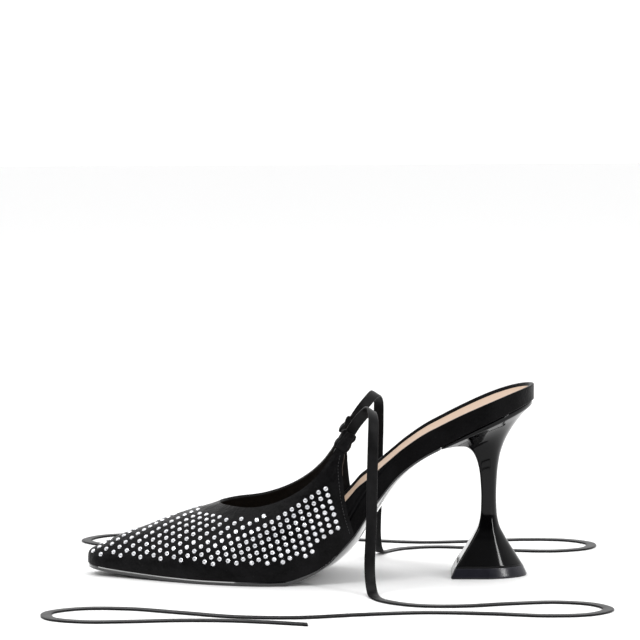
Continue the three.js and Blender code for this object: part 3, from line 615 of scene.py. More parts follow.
STONE = Finish("clear_stone", (0.66, 0.67, 0.7), 0.17, 0.8, metallic=0.68, coat=1.0, coat_roughness=0.03,
               tone=(0.9, 0.9, 0.93), patch=5)
FLOOR = Finish("pale_floor", (0.95, 0.95, 0.95), 0.6, 0.1)


class Mesh:
    """Points and faces gathered for one Blender mesh, in millimetres."""

    def __init__(self) -> None:
        """Starts an empty mesh."""
        self.points: list[np.ndarray] = []
        self.faces: list[tuple[int, ...]] = []
        self.count = 0

    def add(self, points: np.ndarray, faces: Sequence[tuple[int, ...]]) -> None:
        """Adds points and the faces between them."""
        base = self.count
        self.points.append(np.asarray(points, float).reshape(-1, 3))
        self.count += len(self.points[-1])
        self.faces.extend(tuple(base + i for i in face) for face in faces)

    def grid(self, points: np.ndarray, wrap: bool = False) -> None:
        """Adds a grid of quads.

        Args:
            points: an array of rows, columns and (x, y, z).
            wrap: joins the last column to the first.
        """
        rows, across = points.shape[:2]
        faces = []
        for i in range(rows - 1):
            for j in range(across if wrap else across - 1):
                k = (j + 1) % across
                faces.append((i * across + j, (i + 1) * across + j, (i + 1) * across + k, i * across + k))
        self.add(points, faces)

    def tube(self, rings: np.ndarray) -> None:
        """Adds a closed body through rings of points."""
        self.grid(rings, wrap=True)
        for ring in (rings[0], rings[-1]):
            self.add(ring, [tuple(range(len(ring)))])

    def make(self, name: str, *finishes: Finish, weld: float = 0.004, smooth: bool = True) -> bpy.types.Object:
        """Makes the Blender object.

        Args:
            name: the object's name.
            finishes: the finishes of its material slots.
            weld: points nearer than this are joined, in millimetres.
            smooth: shades the faces smoothly.

        Returns:
            The new object, linked into the scene.
        """
        data = bpy.data.meshes.new(name)
        data.from_pydata((np.concatenate(self.points) * MM).tolist(), [], self.faces)
        if weld:
            work = bmesh.new()
            work.from_mesh(data)
            bmesh.ops.remove_doubles(work, verts=work.verts, dist=weld * MM)
            bmesh.ops.dissolve_degenerate(work, edges=work.edges, dist=weld * MM * 0.5)
            bmesh.ops.recalc_face_normals(work, faces=work.faces)
            work.to_mesh(data)
            work.free()
        if smooth:
            data.shade_smooth()
        obj = bpy.data.objects.new(name, data)
        bpy.context.scene.collection.objects.link(obj)
        for finish in finishes:
            data.materials.append(finish.material())
        return obj


class Piece:
    """A sub-assembly of the shoe: it builds its mesh, dresses it and takes the place of CAD nodes."""

    name: str
    nodes: tuple[str, ...]
    slot: str

    def build(self) -> bpy.types.Object:
        """Builds the mesh with its finish."""
        raise NotImplementedError

    def dress(self, obj: bpy.types.Object) -> None:
        """Adds modifiers after the mesh is built."""

    def place(self) -> bpy.types.Object:
        """Builds, dresses and ties the piece to the frame."""
        obj = self.build()
        self.dress(obj)
        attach(obj, "root")
        if self.nodes:
            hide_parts(*self.nodes)
        LOG.info("%s: %d faces", self.name, len(obj.data.polygons))
        return obj


@dataclass(frozen=True)
class Crease:
    """A soft trough or ridge along a straight line in side view, on one side or both."""

    start: tuple[float, float]
    end: tuple[float, float]
    width: float
    height: float
    sides: tuple[Side, ...] = (Side.LATERAL, Side.MEDIAL)

    def push(self, x: np.ndarray, z: np.ndarray) -> np.ndarray:
        """How far the crease moves each place out, in millimetres."""
        a, b = np.array(self.start), np.array(self.end)
        ahead = b - a
        span = np.linalg.norm(ahead)
        ahead = ahead / span
        dx, dz = x - a[0], z - a[1]
        along = (dx * ahead[0] + dz * ahead[1]) / span
        off = np.abs(dx * ahead[1] - dz * ahead[0])
        taper = smoothstep(along, -0.15, 0.25) * (1 - smoothstep(along, 0.7, 1.15))
        return self.height * taper * np.exp(-((off / self.width) ** 2))


def topline_height(x: np.ndarray) -> np.ndarray:
    """Height of the upper's edge at a place along the shoe; far up in front of the throat."""
    track = Track(TOPLINE["across"] * SIZE.length, TOPLINE["up"] * TOPLINE["of"])
    return np.where(x < TOPLINE["across"][0] * SIZE.length, 1e3, track(x))


def wing_back(share: np.ndarray) -> np.ndarray:
    """Points (x, z) of the wing's back edge, from its foot, 0, to the tip, 1."""
    x = WING_BACK["across"][::-1] * SIZE.length
    z = WING_BACK["up"][::-1] * SIZE.wing_height
    run = np.concatenate([[0], np.cumsum(np.hypot(np.diff(x), np.diff(z)))])
    at = share * run[-1]
    return np.stack([Track(run, x)(at), Track(run, z)(at)], -1)


@dataclass
class Upper(Piece):
    """Hollow satin upper: vamp and wings in one even wall with a soft edge."""

    name: str = "satin_upper"
    nodes: tuple[str, ...] = ("upper",)
    slot: str = "satin"
    rows_vamp: int = 96
    rows_side: int = 54
    rows_wing: int = 44
    across: int = 64
    wing_from: float = -2.0
    corner_at: float = 0.86
    edge_rounding: float = 0.55
    creases: tuple[Crease, ...] = (
        Crease((20.5, 70.0), (14.0, 56.0), 0.7, -0.28),
        Crease((18.6, 71.0), (9.5, 58.5), 0.7, 0.22),
        Crease((19.8, 67.0), (18.0, 52.0), 0.6, 0.2),
        Crease((17.4, 72.0), (8.5, 62.0), 0.6, -0.2),
        Crease((-8.0, 9.5), (14.0, 26.0), 1.8, 0.22),
        Crease((-18.0, 6.5), (2.0, 15.0), 1.6, -0.2),
        Crease((-44.0, 36.0), (-26.0, 34.0), 1.7, -0.18),
        Crease((-96.0, 12.0), (-70.0, 16.0), 2.4, -0.16),
    )

    def places(self, side: Side) -> tuple[np.ndarray, np.ndarray]:
        """Share and way around of every point of one side's grid, from the toe to the wing's back."""
        nose = LAST.nose * (1 - np.cos(np.linspace(0.06, 1.1, 12)))
        throat = self._throat_share()
        vamp = lerp(nose[-1], throat, np.linspace(0, 1, self.rows_vamp)[1:] ** 0.85)
        wing_share = LAST.share(self.wing_from)
        beside = lerp(throat, wing_share, np.linspace(0, 1, self.rows_side)[1:] ** 1.7)
        share = np.concatenate([nose, vamp, beside])
        low = self._height_place(side, share, self._hem)
        high = np.ones_like(share)
        behind = share > throat
        high[behind] = self._height_place(side, share[behind], lambda point: topline_height(point[..., 0]))
        grid_share = np.repeat(share[:, None], self.across, 1)
        grid_t = self._even(side, share, low, high)
        wing_s, wing_a = self._wing(side, grid_share[-1], way(side, grid_t[-1]))
        return np.concatenate([grid_share, wing_s[1:]]), np.concatenate([way(side, grid_t), wing_a[1:]])

    @staticmethod
    def _hem(point: np.ndarray) -> np.ndarray:
        """Height of the upper's lower edge at each point."""
        return LAST.underside(LAST.share(point[..., 0])) + SIZE.clearance

    @staticmethod
    def _throat_share() -> float:
        """Share of the last where the topline meets the crest."""
        share = np.linspace(0.26, 0.36, 400)
        crest = LAST.skin(share, np.full_like(share, 0.5), SKIN)
        free = crest[:, 2] > topline_height(crest[:, 0])
        return float(share[np.argmax(free)])

    @staticmethod
    def _height_place(
        side: Side, share: np.ndarray, height: Callable[[np.ndarray], np.ndarray]
    ) -> np.ndarray:
        """Finds the places where each station's skin reaches a height.

        Args:
            side: the side of the shoe.
            share: the stations along the last.
            height: gives the height wanted at a point.

        Returns:
            The t of each place, from 0 at the side's edge to 1 at the crest.
        """
        low, high = np.zeros_like(share), np.ones_like(share)
        for _ in range(34):
            t = (low + high) / 2
            point = LAST.skin(share, way(side, t), SKIN)
            under = point[..., 2] < height(point)
            low, high = np.where(under, t, low), np.where(under, high, t)
        return (low + high) / 2

    def _even(self, side: Side, share: np.ndarray, low: np.ndarray, high: np.ndarray) -> np.ndarray:
        """Evenly spaced places between low and high over the skin of each station."""
        steps = np.linspace(0, 1, 90)
        t = lerp(low[:, None], high[:, None], steps[None])
        points = LAST.skin(share[:, None], way(side, t), SKIN)
        run = np.cumsum(np.linalg.norm(np.diff(points, axis=1), axis=-1), axis=1)
        run = np.concatenate([np.zeros((len(share), 1)), run], 1)
        want = np.linspace(0, 1, self.across)
        return np.stack([np.interp(want * r[-1], r, row) for r, row in zip(run, t)])

    def _wing(self, side: Side, share: np.ndarray, around: np.ndarray) -> tuple[np.ndarray, np.ndarray]:
        """Places of the wing: a patch between the last station, the topline, the back edge and the hem.

        Args:
            side: the side of the shoe.
            share: shares of the station that the wing starts from.
            around: ways around of its places.

        Returns:
            Shares and ways around of the wing's grid.
        """
        left = LAST.skin(share, around, SKIN)[:, [0, 2]]
        height = (left[:, 1] - left[0, 1]) / (left[-1, 1] - left[0, 1])
        u = np.linspace(0, 1, self.rows_wing)
        right = wing_back(height)
        corner = TOPLINE["across"][-1] * SIZE.length
        past = np.clip((u - self.corner_at) / (1 - self.corner_at), 0, 1)
        top_x = np.where(u < self.corner_at, lerp(left[-1, 0], corner, u / self.corner_at),
                         lerp(corner, right[-1, 0], past))
        tip = TOPLINE["up"][-1] * SIZE.wing_height
        top_z = np.where(u < self.corner_at, topline_height(top_x), lerp(tip, right[-1, 1], past))
        low_x = lerp(left[0, 0], right[0, 0], u)
        hem = LAST.underside(LAST.share(low_x)) + SIZE.clearance
        low_z = lerp(hem, right[0, 1], smoothstep(u, 0.9, 1.0))
        top, low = np.stack([top_x, top_z], -1), np.stack([low_x, low_z], -1)
        uu, vv = u[:, None, None], height[None, :, None]
        sides = (1 - uu) * left[None] + uu * right[None]
        ends = (1 - vv) * low[:, None] + vv * top[:, None]
        corners = (1 - uu) * ((1 - vv) * left[0] + vv * left[-1]) + uu * ((1 - vv) * right[0] + vv * right[-1])
        spot = sides + ends - corners
        return LAST.solve(side, spot[..., 0], spot[..., 1], SKIN)

    def creased(self, side: Side) -> np.ndarray:
        """The outer face of one side with its creases."""
        share, around = self.places(side)
        flat = LAST.skin(share, around, SKIN)
        push = np.zeros(share.shape)
        for crease in self.creases:
            if side in crease.sides:
                push += crease.push(flat[..., 0], flat[..., 2])
        return LAST.skin(share, around, SKIN + push)

    def build(self) -> bpy.types.Object:
        """Builds both sides' outer face as one sheet, joined over the toe's tip."""
        mesh = Mesh()
        lateral, medial = (self.creased(side) for side in Side)
        mesh.grid(lateral)
        mesh.grid(medial)
        nose = (lateral[0] + medial[0]) / 2
        nose[:, 0] -= np.abs(lateral[0, :, 1] - medial[0, :, 1]) * 0.12
        mesh.grid(np.array([lateral[0], nose, medial[0]]))
        return mesh.make(self.name, SATIN, LINING, weld=0.006)

    def dress(self, obj: bpy.types.Object) -> None:
        """Gives the sheet its wall and a soft edge."""
        wall = obj.modifiers.new("wall", "SOLIDIFY")
        wall.thickness = SIZE.wall * MM
        wall.offset = -1
        wall.use_even_offset = True
        wall.material_offset = 1
        wall.material_offset_rim = 0
        soft = obj.modifiers.new("soft_edge", "BEVEL")
        soft.width = self.edge_rounding * MM
        soft.segments = 3
        soft.limit_method = "ANGLE"
        soft.angle_limit = math.radians(50)


@dataclass
class Outsole(Piece):
    """Thin glossy sole with a fine lip under the upper, and a rounded waist that ends at the heel."""

    name: str = "gloss_outsole"
    nodes: tuple[str, ...] = ("outsole",)
    slot: str = "sole"
    rows: int = 130
    middle: int = 22
    lip: float = 0.62
    lip_slope: float = 0.28
    chamfer: float = 0.53
    swell: float = 3.4
    rounding: float = 0.8

    def build(self) -> bpy.types.Object:
        """Builds the sole from cross-sections."""
        nose = LAST.nose * (1 - np.cos(np.linspace(0.05, 1.1, 10)))
        share = np.concatenate([nose, np.linspace(nose[-1], SIZE.breast_share, self.rows)[1:]])
        arch = smoothstep(share, 0.47, 0.62)
        out = lerp(SKIN - SIZE.outsole_setback, -SIZE.waist_setback, arch)
        lateral = LAST.outline(Side.LATERAL, share, out)
        medial = LAST.outline(Side.MEDIAL, share, out)
        edge = lerp(SIZE.outsole_thickness, SIZE.waist_edge, smoothstep(share, 0.44, 0.56))
        thinning = lerp(1, SIZE.breast_belly, smoothstep(share, 0.66, SIZE.breast_share))
        belly = SIZE.waist_belly * smoothstep(share, 0.48, 0.6) * thinning
        belly += self.swell * smoothstep(share, 0.47, 0.59) * (1 - smoothstep(share, 0.62, 0.77))
        lip = self.lip * (1 - smoothstep(share, 0.36, 0.48))
        rings = [self._ring(*row) for row in zip(lateral, medial, edge, belly, lip)]
        mesh = Mesh()
        mesh.tube(np.array(rings))
        return mesh.make(self.name, SOLE)

    def _ring(self, lateral: np.ndarray, medial: np.ndarray, edge: float, belly: float, lip: float) -> np.ndarray:
        """One cross-section, from the lateral top corner under the sole to the medial one and back.

        Args:
            lateral: the outline's point (x, y) on the lateral side.
            medial: the same on the medial side.
            edge: thickness at the edge.
            belly: rounding under the middle.
            lip: how far the lip stands out under the upper.

        Returns:
            The points of the cross-section.
        """
        width = float(np.linalg.norm(medial - lateral))
        soft = min(self.rounding, edge * 0.5, width * 0.3)
        turn = np.linspace(0, math.pi / 2, 6)
        chamfer = min(self.chamfer, edge * 0.3)
        face = np.array([0.0, 0.06, 0.94, 1.0])
        slope = self.lip_slope * lip / self.lip
        inset = np.concatenate([[0.3, 0.01 - lip + slope], slope - lip - slope * face, [-lip, 0.02],
                                soft * (1 - np.cos(turn))])
        depth = np.concatenate([[0, 0.01], 0.03 + (chamfer - 0.03) * face, [chamfer + 0.08, chamfer + 0.16],
                                edge - soft + soft * np.sin(turn)])
        at_edge = inset / width * 2 - 1
        middle = np.linspace(at_edge[-1], -at_edge[-1], self.middle)[1:-1]
        place = np.concatenate([at_edge, middle, -at_edge[::-1]])
        down = np.concatenate([depth, np.full(len(middle), edge), depth[::-1]]) + belly * (1 - place * place)
        flat = lerp(lateral, medial, ((place + 1) / 2)[:, None])
        low = np.column_stack([flat, LAST.underside(LAST.share(flat[:, 0])) - down])
        across = lerp(flat[-1], flat[0], np.linspace(0, 1, 9)[1:-1][:, None])
        top = np.column_stack([across, LAST.underside(LAST.share(across[:, 0]))])
        return np.concatenate([low, top])


@dataclass
class Footbed(Piece):
    """Moulded footbed in satin: a band with a low rim round a dished bed, and its wrapping's fold."""

    name: str = "satin_band"
    nodes: tuple[str, ...] = ("footbed",)
    slot: str = "satin"
    across: int = 21
    fold_depth: float = 0.55
    fold_ridge: float = 0.3
    fold: Track = field(default_factory=lambda: Track(
        np.array([10.0, 22.0, 30.0, 38.5, 47.0, 54.0]), np.array([0.3, 0.5, 0.68, 0.85, 0.95, 1.2])))

    def build(self) -> bpy.types.Object:
        """Sweeps the band's profile round the outline and closes it over and under the bed."""
        nose = LAST.nose * (1 - np.cos(np.linspace(0, 1.1, 10)))
        straight = np.concatenate([np.linspace(nose[-1], 0.45, 50)[1:], np.linspace(0.45, LAST.seat, 140)[1:]])
        turn = np.linspace(0, math.pi / 2, 26)[1:]
        share = np.concatenate([nose, straight, LAST.seat + (1 - LAST.seat) * np.sin(turn)])
        lateral, medial = (self._rows(side, share) for side in Side)
        for end in (0, -1):
            lateral[end] = medial[end] = (lateral[end] + medial[end]) / 2
        mesh = Mesh()
        mesh.grid(lateral)
        mesh.grid(medial)
        place = np.linspace(-1, 1, self.across)
        for column, dished in ((-1, True), (0, False)):
            ends = lateral[:, column], medial[:, column]
            sheet = lerp(ends[0][:, None], ends[1][:, None], ((place + 1) / 2)[None, :, None])
            if dished:
                own = LAST.share(sheet[..., 0])
                sheet[..., 2] = LAST.bed_floor(own, np.broadcast_to(place, own.shape))
            mesh.grid(sheet)
        return mesh.make(self.name, BAND_SATIN, weld=0.02)

    def _rows(self, side: Side, share: np.ndarray) -> np.ndarray:
        """Rows of profile points along one side, from under the bed round the band to the bed."""
        soft = SIZE.rim_rounding
        profile = [(2.8, 0.0, 0.0), (0.5, 0.0, 0.0), (0.12, 0.0, 0.12)]
        profile += [(0.0, float(w), 0.0) for w in np.linspace(0.04, 0.93, 34)]
        profile += [(soft * (1 - math.cos(a)), 1.0, -soft * (1 - math.sin(a)))
                    for a in np.radians([15, 35, 55, 75, 90])]
        profile += [(1.6, 1.0, 0.0), (1.95, 1.0, -0.12)]
        rows = []
        for inset, height, extra in profile:
            push = self._push(share, height) if inset == 0 else np.zeros_like(share)
            flat = LAST.outline(side, share, push - inset)
            own = LAST.share(flat[:, 0])
            low = LAST.underside(own) + SIZE.clearance
            rows.append(np.column_stack([flat, lerp(low, LAST.rim(own), height) + extra]))
        flat = LAST.outline(side, share, np.full_like(share, -SIZE.rim_width))
        own = LAST.share(flat[:, 0])
        rows.append(np.column_stack([flat, LAST.bed_floor(own, np.ones_like(own))]))
        return np.stack(rows, 1)

    def _push(self, share: np.ndarray, height: float) -> np.ndarray:
        """Fold of the wrapping: a soft step that climbs to the rim behind the wing."""
        x = LAST.x(share)
        off = height - self.fold(x)
        near = (1 - smoothstep(x, 44, 54)) * smoothstep(x, 13, 20)
        trough = np.exp(-((off / 0.035) ** 2))
        ridge = np.exp(-(((off - 0.085) / 0.05) ** 2))
        return (self.fold_ridge * ridge - self.fold_depth * trough) * near


@dataclass
class SockLining(Piece):
    """Soft beige sock, a little dished, inside the band's rim."""

    name: str = "beige_sock"
    nodes: tuple[str, ...] = ("sock_lining",)
    slot: str = "sock"
    rows: int = 170
    across: int = 35
    side_gap: float = 0.12
    edge_sharpness: int = 24

    def build(self) -> bpy.types.Object:
        """Builds the sock with a soft edge that dips to the bed."""
        nose = LAST.nose * (1 - np.cos(np.linspace(0.2, 1.1, 6)))
        body = np.linspace(nose[-1], LAST.seat, self.rows)[1:]
        turn = np.linspace(0, 1.5, 22)[1:]
        share = np.concatenate([nose, body, LAST.seat + (1 - LAST.seat) * np.sin(turn)])
        margin = SIZE.rim_width + self.side_gap
        lateral, medial = (LAST.outline(side, share, -margin) for side in Side)
        place = np.sin(np.linspace(-math.pi / 2, math.pi / 2, self.across))
        flat = lerp(lateral[:, None], medial[:, None], ((place + 1) / 2)[None, :, None])
        own = LAST.share(flat[..., 0])
        under = LAST.bed_floor(own, np.broadcast_to(place, own.shape)) + SIZE.clearance
        thickness = SIZE.sock_thickness * (1 - np.abs(place) ** self.edge_sharpness)
        top = np.concatenate([flat, (under + thickness)[..., None]], -1)
        bottom = np.concatenate([flat, under[..., None]], -1)
        mesh = Mesh()
        mesh.grid(top)
        mesh.grid(bottom)
        for end in (0, -1):
            mesh.grid(np.array([top[end], bottom[end]]))
        return mesh.make(self.name, SOCK)


@dataclass(frozen=True)
class HeelRing:
    """One ring of the heel: flat front, flat sides that end in a crease, and a rounded back."""

    front: float
    back: float
    half: float
    front_height: float
    back_height: float
    round_share: float
    corner: float
    crease: float

    def points(self, follow_seat: bool = False) -> np.ndarray:
        """Points of the ring, from the middle of the front round the lateral side and back.

        Args:
            follow_seat: lays the ring against the seat instead of on its own slope.

        Returns:
            The points, as an array.
        """
        straight = lerp(self.back, self.front, self.round_share)
        corner = min(self.corner, self.half * 0.6, (straight - self.front) * 0.6)
        bend = np.linspace(0, math.pi / 2, 7)
        face = np.column_stack([np.full(7, self.front), np.linspace(0, -self.half + corner, 7)])
        turn = np.column_stack([
            self.front + corner * (1 - np.cos(bend[1:])),
            -self.half + corner * (1 - np.sin(bend[1:])),
        ])
        along = 1 - (1 - np.linspace(0, 1, 12)[1:]) ** 1.8
        flank = np.column_stack([lerp(self.front + corner, straight, along), np.full(11, -self.half)])
        arc = -math.pi / 2 + self.crease + (math.pi / 2 - self.crease) * np.linspace(0, 1, 23)[1:] ** 1.4
        reach = (np.cos(arc) - math.sin(self.crease)) / (1 - math.sin(self.crease))
        rounded = np.column_stack([
            straight + (self.back - straight) * reach,
            self.half * np.sin(arc) / math.cos(self.crease),
        ])
        lateral = np.concatenate([face, turn, flank, rounded])
        medial = lateral[-2:0:-1] * np.array([1, -1])
        flat = np.concatenate([lateral, medial])
        if follow_seat:
            height = LAST.underside(LAST.share(flat[:, 0]))
        else:
            share = (flat[:, 0] - self.front) / (self.back - self.front)
            height = lerp(self.front_height, self.back_height, share)
        return np.column_stack([flat, height])


def heel_ring(cup: float, foot: float, front: float, back: float) -> HeelRing:
    """Ring of the heel that has swollen from the stem to the cup or the foot.

    Args:
        cup: share of the way to the cup's outline.
        foot: share of the way to the foot's outline.
        front: height of the ring's front in millimetres.
        back: height of its back.

    Returns:
        The ring.
    """
    stem_x = SIZE.length / 2 - SIZE.heel_axis_setback

    def widen(stem: float, at_cup: float, at_foot: float) -> float:
        return stem + (at_cup - stem) * cup + (at_foot - stem) * foot

    return HeelRing(
        front=widen(stem_x - SIZE.stem_depth / 2, float(LAST.x(SIZE.breast_share)) + SIZE.clearance,
                    stem_x - SIZE.foot_depth / 2),
        back=widen(stem_x + SIZE.stem_depth / 2, LAST.back - SIZE.heel_setback, stem_x + SIZE.foot_depth / 2),
        half=widen(SIZE.stem_width / 2, SIZE.seat_width / 2 - SIZE.heel_setback, SIZE.foot_width / 2),
        front_height=front,
        back_height=back,
        round_share=widen(0.45, 0.56, 0.5),
        corner=widen(1.5, 1.0, 0.7),
        crease=widen(0.1, 0.02, 0.42),
    )


@dataclass
class Heel(Piece):
    """Gloss black spool heel."""

    name: str = "lacquered_heel"
    nodes: tuple[str, ...] = ("heel",)
    slot: str = "lacquer"
    steps: int = 64
    foot_steps: int = 14
    waist_share: float = 0.3
    foot_share: float = 0.86
    rim: tuple[tuple[float, float], ...] = ((0.0, 0.55), (0.05, 0.25), (0.2, 0.06), (0.5, 0.0))

    def build(self) -> bpy.types.Object:
        """Lofts the heel from the foot up to the seat."""
        tracks = [Track(HEEL_RINGS["at"], HEEL_RINGS[key]) for key in ("cup", "foot", "front", "back")]
        low = SIZE.tip_thickness + SIZE.clearance
        waist_height = float(HEEL_RINGS["front"][-1]) * SIZE.seat_height
        rings = []
        for share in np.linspace(0, 1, self.foot_steps)[:-1]:
            height = lerp(low, waist_height, share)
            rings.append(heel_ring(0, lerp(self.foot_share, self.waist_share, share), height, height).points())
        for at in np.linspace(1, 0, self.steps):
            cup, foot, front, back = (float(track(at)) for track in tracks)
            rings.append(heel_ring(cup, foot, front * SIZE.seat_height, back * SIZE.seat_height).points())
        seat = heel_ring(1, 0, 0, 0).points(follow_seat=True)
        middle = seat.mean(0)
        for inset, fall in self.rim:
            inward = middle[:2] - seat[:, :2]
            inward /= np.linalg.norm(inward, axis=1, keepdims=True)
            rings.append(np.column_stack([seat[:, :2] + inward * inset, seat[:, 2] - fall]))
        mesh = Mesh()
        mesh.tube(np.array(rings))
        return mesh.make(self.name, LACQUER)


@dataclass
class HeelTip(Piece):
    """Top piece under the heel, with softened edges."""

    name: str = "slate_top_piece"
    nodes: tuple[str, ...] = ("heel_tip",)
    slot: str = "top_piece"
    levels: tuple[tuple[float, float], ...] = (
        (0.955, 0.0), (0.972, 0.08), (0.992, 0.35), (1.0, 0.8), (0.99, 1.3), (0.93, 3.4), (0.888, 4.9),
        (0.876, 5.25), (0.862, 5.5),
    )

    def build(self) -> bpy.types.Object:
        """Lofts the top piece from the floor up."""
        mesh = Mesh()
        mesh.tube(np.array([heel_ring(0, share, height, height).points() for share, height in self.levels]))
        return mesh.make(self.name, TOP_PIECE)


@dataclass(frozen=True)
class WingTip:
    """Axes at the tip of a wing: along the tie, across its width and out of its face."""

    end: np.ndarray
    along: np.ndarray
    width: np.ndarray
    face: np.ndarray


def wing_tip(side: Side) -> WingTip:
    """Works out where a wing ends and how it is turned."""
    front = np.array([TOPLINE["across"][-1] * SIZE.length, TOPLINE["up"][-1] * SIZE.wing_height])
    back = np.array([WING_BACK["across"][0] * SIZE.length, WING_BACK["up"][0] * SIZE.wing_height])
    tip = (front + back) / 2
    edge = (front - back) / np.linalg.norm(front - back)
    below = tip + np.array([-edge[1], edge[0]]) * SIZE.loop_length
    middle = SIZE.clearance + SIZE.wall / 2
    spots = []
    for x, z in (tip, below):
        share, around = LAST.solve(side, np.array([x]), np.array([z]), middle)
        spots.append(LAST.skin(share, around, middle)[0])
    along = spots[0] - spots[1]
    along /= np.linalg.norm(along)
    face = np.cross([edge[0], 0, edge[1]], along)
    face /= np.linalg.norm(face)
    return WingTip(spots[0], along, np.cross(along, face), face)


@dataclass
class TieLoop(Piece):
    """Gathered satin sleeve at a wing's tip, pinched and puckered round the tie."""

    side: Side
    name: str = field(init=False)
    nodes: tuple[str, ...] = field(init=False)
    slot: str = "satin"
    rings: int = 45
    steps: int = 96
    length: float = 10.0
    rise: float = 0.8
    squareness: float = 0.72
    gathers: tuple[tuple[int, float, float], ...] = ((9, 0.045, 1.3), (5, 0.035, -2.1), (14, 0.02, 2.9))

    def __post_init__(self) -> None:
        """Names the loop and its solid by their side."""
        self.name = f"gathered_loop_{self.side.name.lower()}"
        self.nodes = (f"tie_loop_{self.side.name.lower()}",)

    def build(self) -> bpy.types.Object:
        """Builds the sleeve as a soft tube with gathers, its ends turned in."""
        tip = wing_tip(self.side)
        angle = np.linspace(0, 2 * math.pi, self.steps + 1)[:-1]
        east = np.sign(np.cos(angle)) * np.abs(np.cos(angle)) ** self.squareness
        north = np.sign(np.sin(angle)) * np.abs(np.sin(angle)) ** self.squareness
        rings = []
        for level in np.linspace(-1, 1, self.rings):
            pinch = 1 - 0.15 * math.exp(-(((level - 0.12) / 0.3) ** 2))
            lip = 1 - 0.2 * abs(level) ** 8
            roll = 1 + 0.06 * math.sin(2.6 * level * math.pi)
            gather = 1 + sum(depth * np.sin(count * angle + lean * level) for count, depth, lean in self.gathers)
            wide = SIZE.loop_width / 2 * pinch * lip * gather * east
            deep = SIZE.loop_depth / 2 * roll * lip * gather * north
            sway = self.rise + level * self.length / 2 + 0.28 * np.sin(3 * angle + level * 2.2)
            rings.append(tip.end + wide[:, None] * tip.width + deep[:, None] * tip.face + sway[:, None] * tip.along)
        for end, inward in ((0, 1), (-1, -1)):
            middle = rings[end].mean(0)
            turned = lerp(rings[end], middle, 0.3) + tip.along * inward * 0.6
            rings.insert(0, turned) if end == 0 else rings.append(turned)
        mesh = Mesh()
        mesh.grid(np.array(rings), wrap=True)
        return mesh.make(self.name, SATIN)


def catmull_rom(knots: np.ndarray, step: float) -> np.ndarray:
    """Centripetal curve through the knots, sampled evenly.

    Args:
        knots: the points that the curve passes.
        step: distance between two samples, in millimetres.

    Returns:
        The samples.
    """
    ends = np.concatenate([[2 * knots[0] - knots[1]], knots, [2 * knots[-1] - knots[-2]]])
    fine = []
    for p0, p1, p2, p3 in zip(ends, ends[1:], ends[2:], ends[3:]):
        t0 = 0.0
        t1 = t0 + np.linalg.norm(p1 - p0) ** 0.5
        t2 = t1 + np.linalg.norm(p2 - p1) ** 0.5
        t3 = t2 + np.linalg.norm(p3 - p2) ** 0.5
        t = np.linspace(t1, t2, 24, endpoint=False)[:, None]
        a1 = (t1 - t) / (t1 - t0) * p0 + (t - t0) / (t1 - t0) * p1
        a2 = (t2 - t) / (t2 - t1) * p1 + (t - t1) / (t2 - t1) * p2
        a3 = (t3 - t) / (t3 - t2) * p2 + (t - t2) / (t3 - t2) * p3
        b1 = (t2 - t) / (t2 - t0) * a1 + (t - t0) / (t2 - t0) * a2
        b2 = (t3 - t) / (t3 - t1) * a2 + (t - t1) / (t3 - t1) * a3
        fine.append((t2 - t) / (t2 - t1) * b1 + (t - t1) / (t2 - t1) * b2)
    points = np.concatenate([*fine, knots[-1:]])
    run = np.concatenate([[0], np.cumsum(np.linalg.norm(np.diff(points, axis=0), axis=1))])
    want = np.linspace(0, run[-1], max(2, round(run[-1] / step)))
    return np.stack([np.interp(want, run, points[:, k]) for k in range(3)], 1)


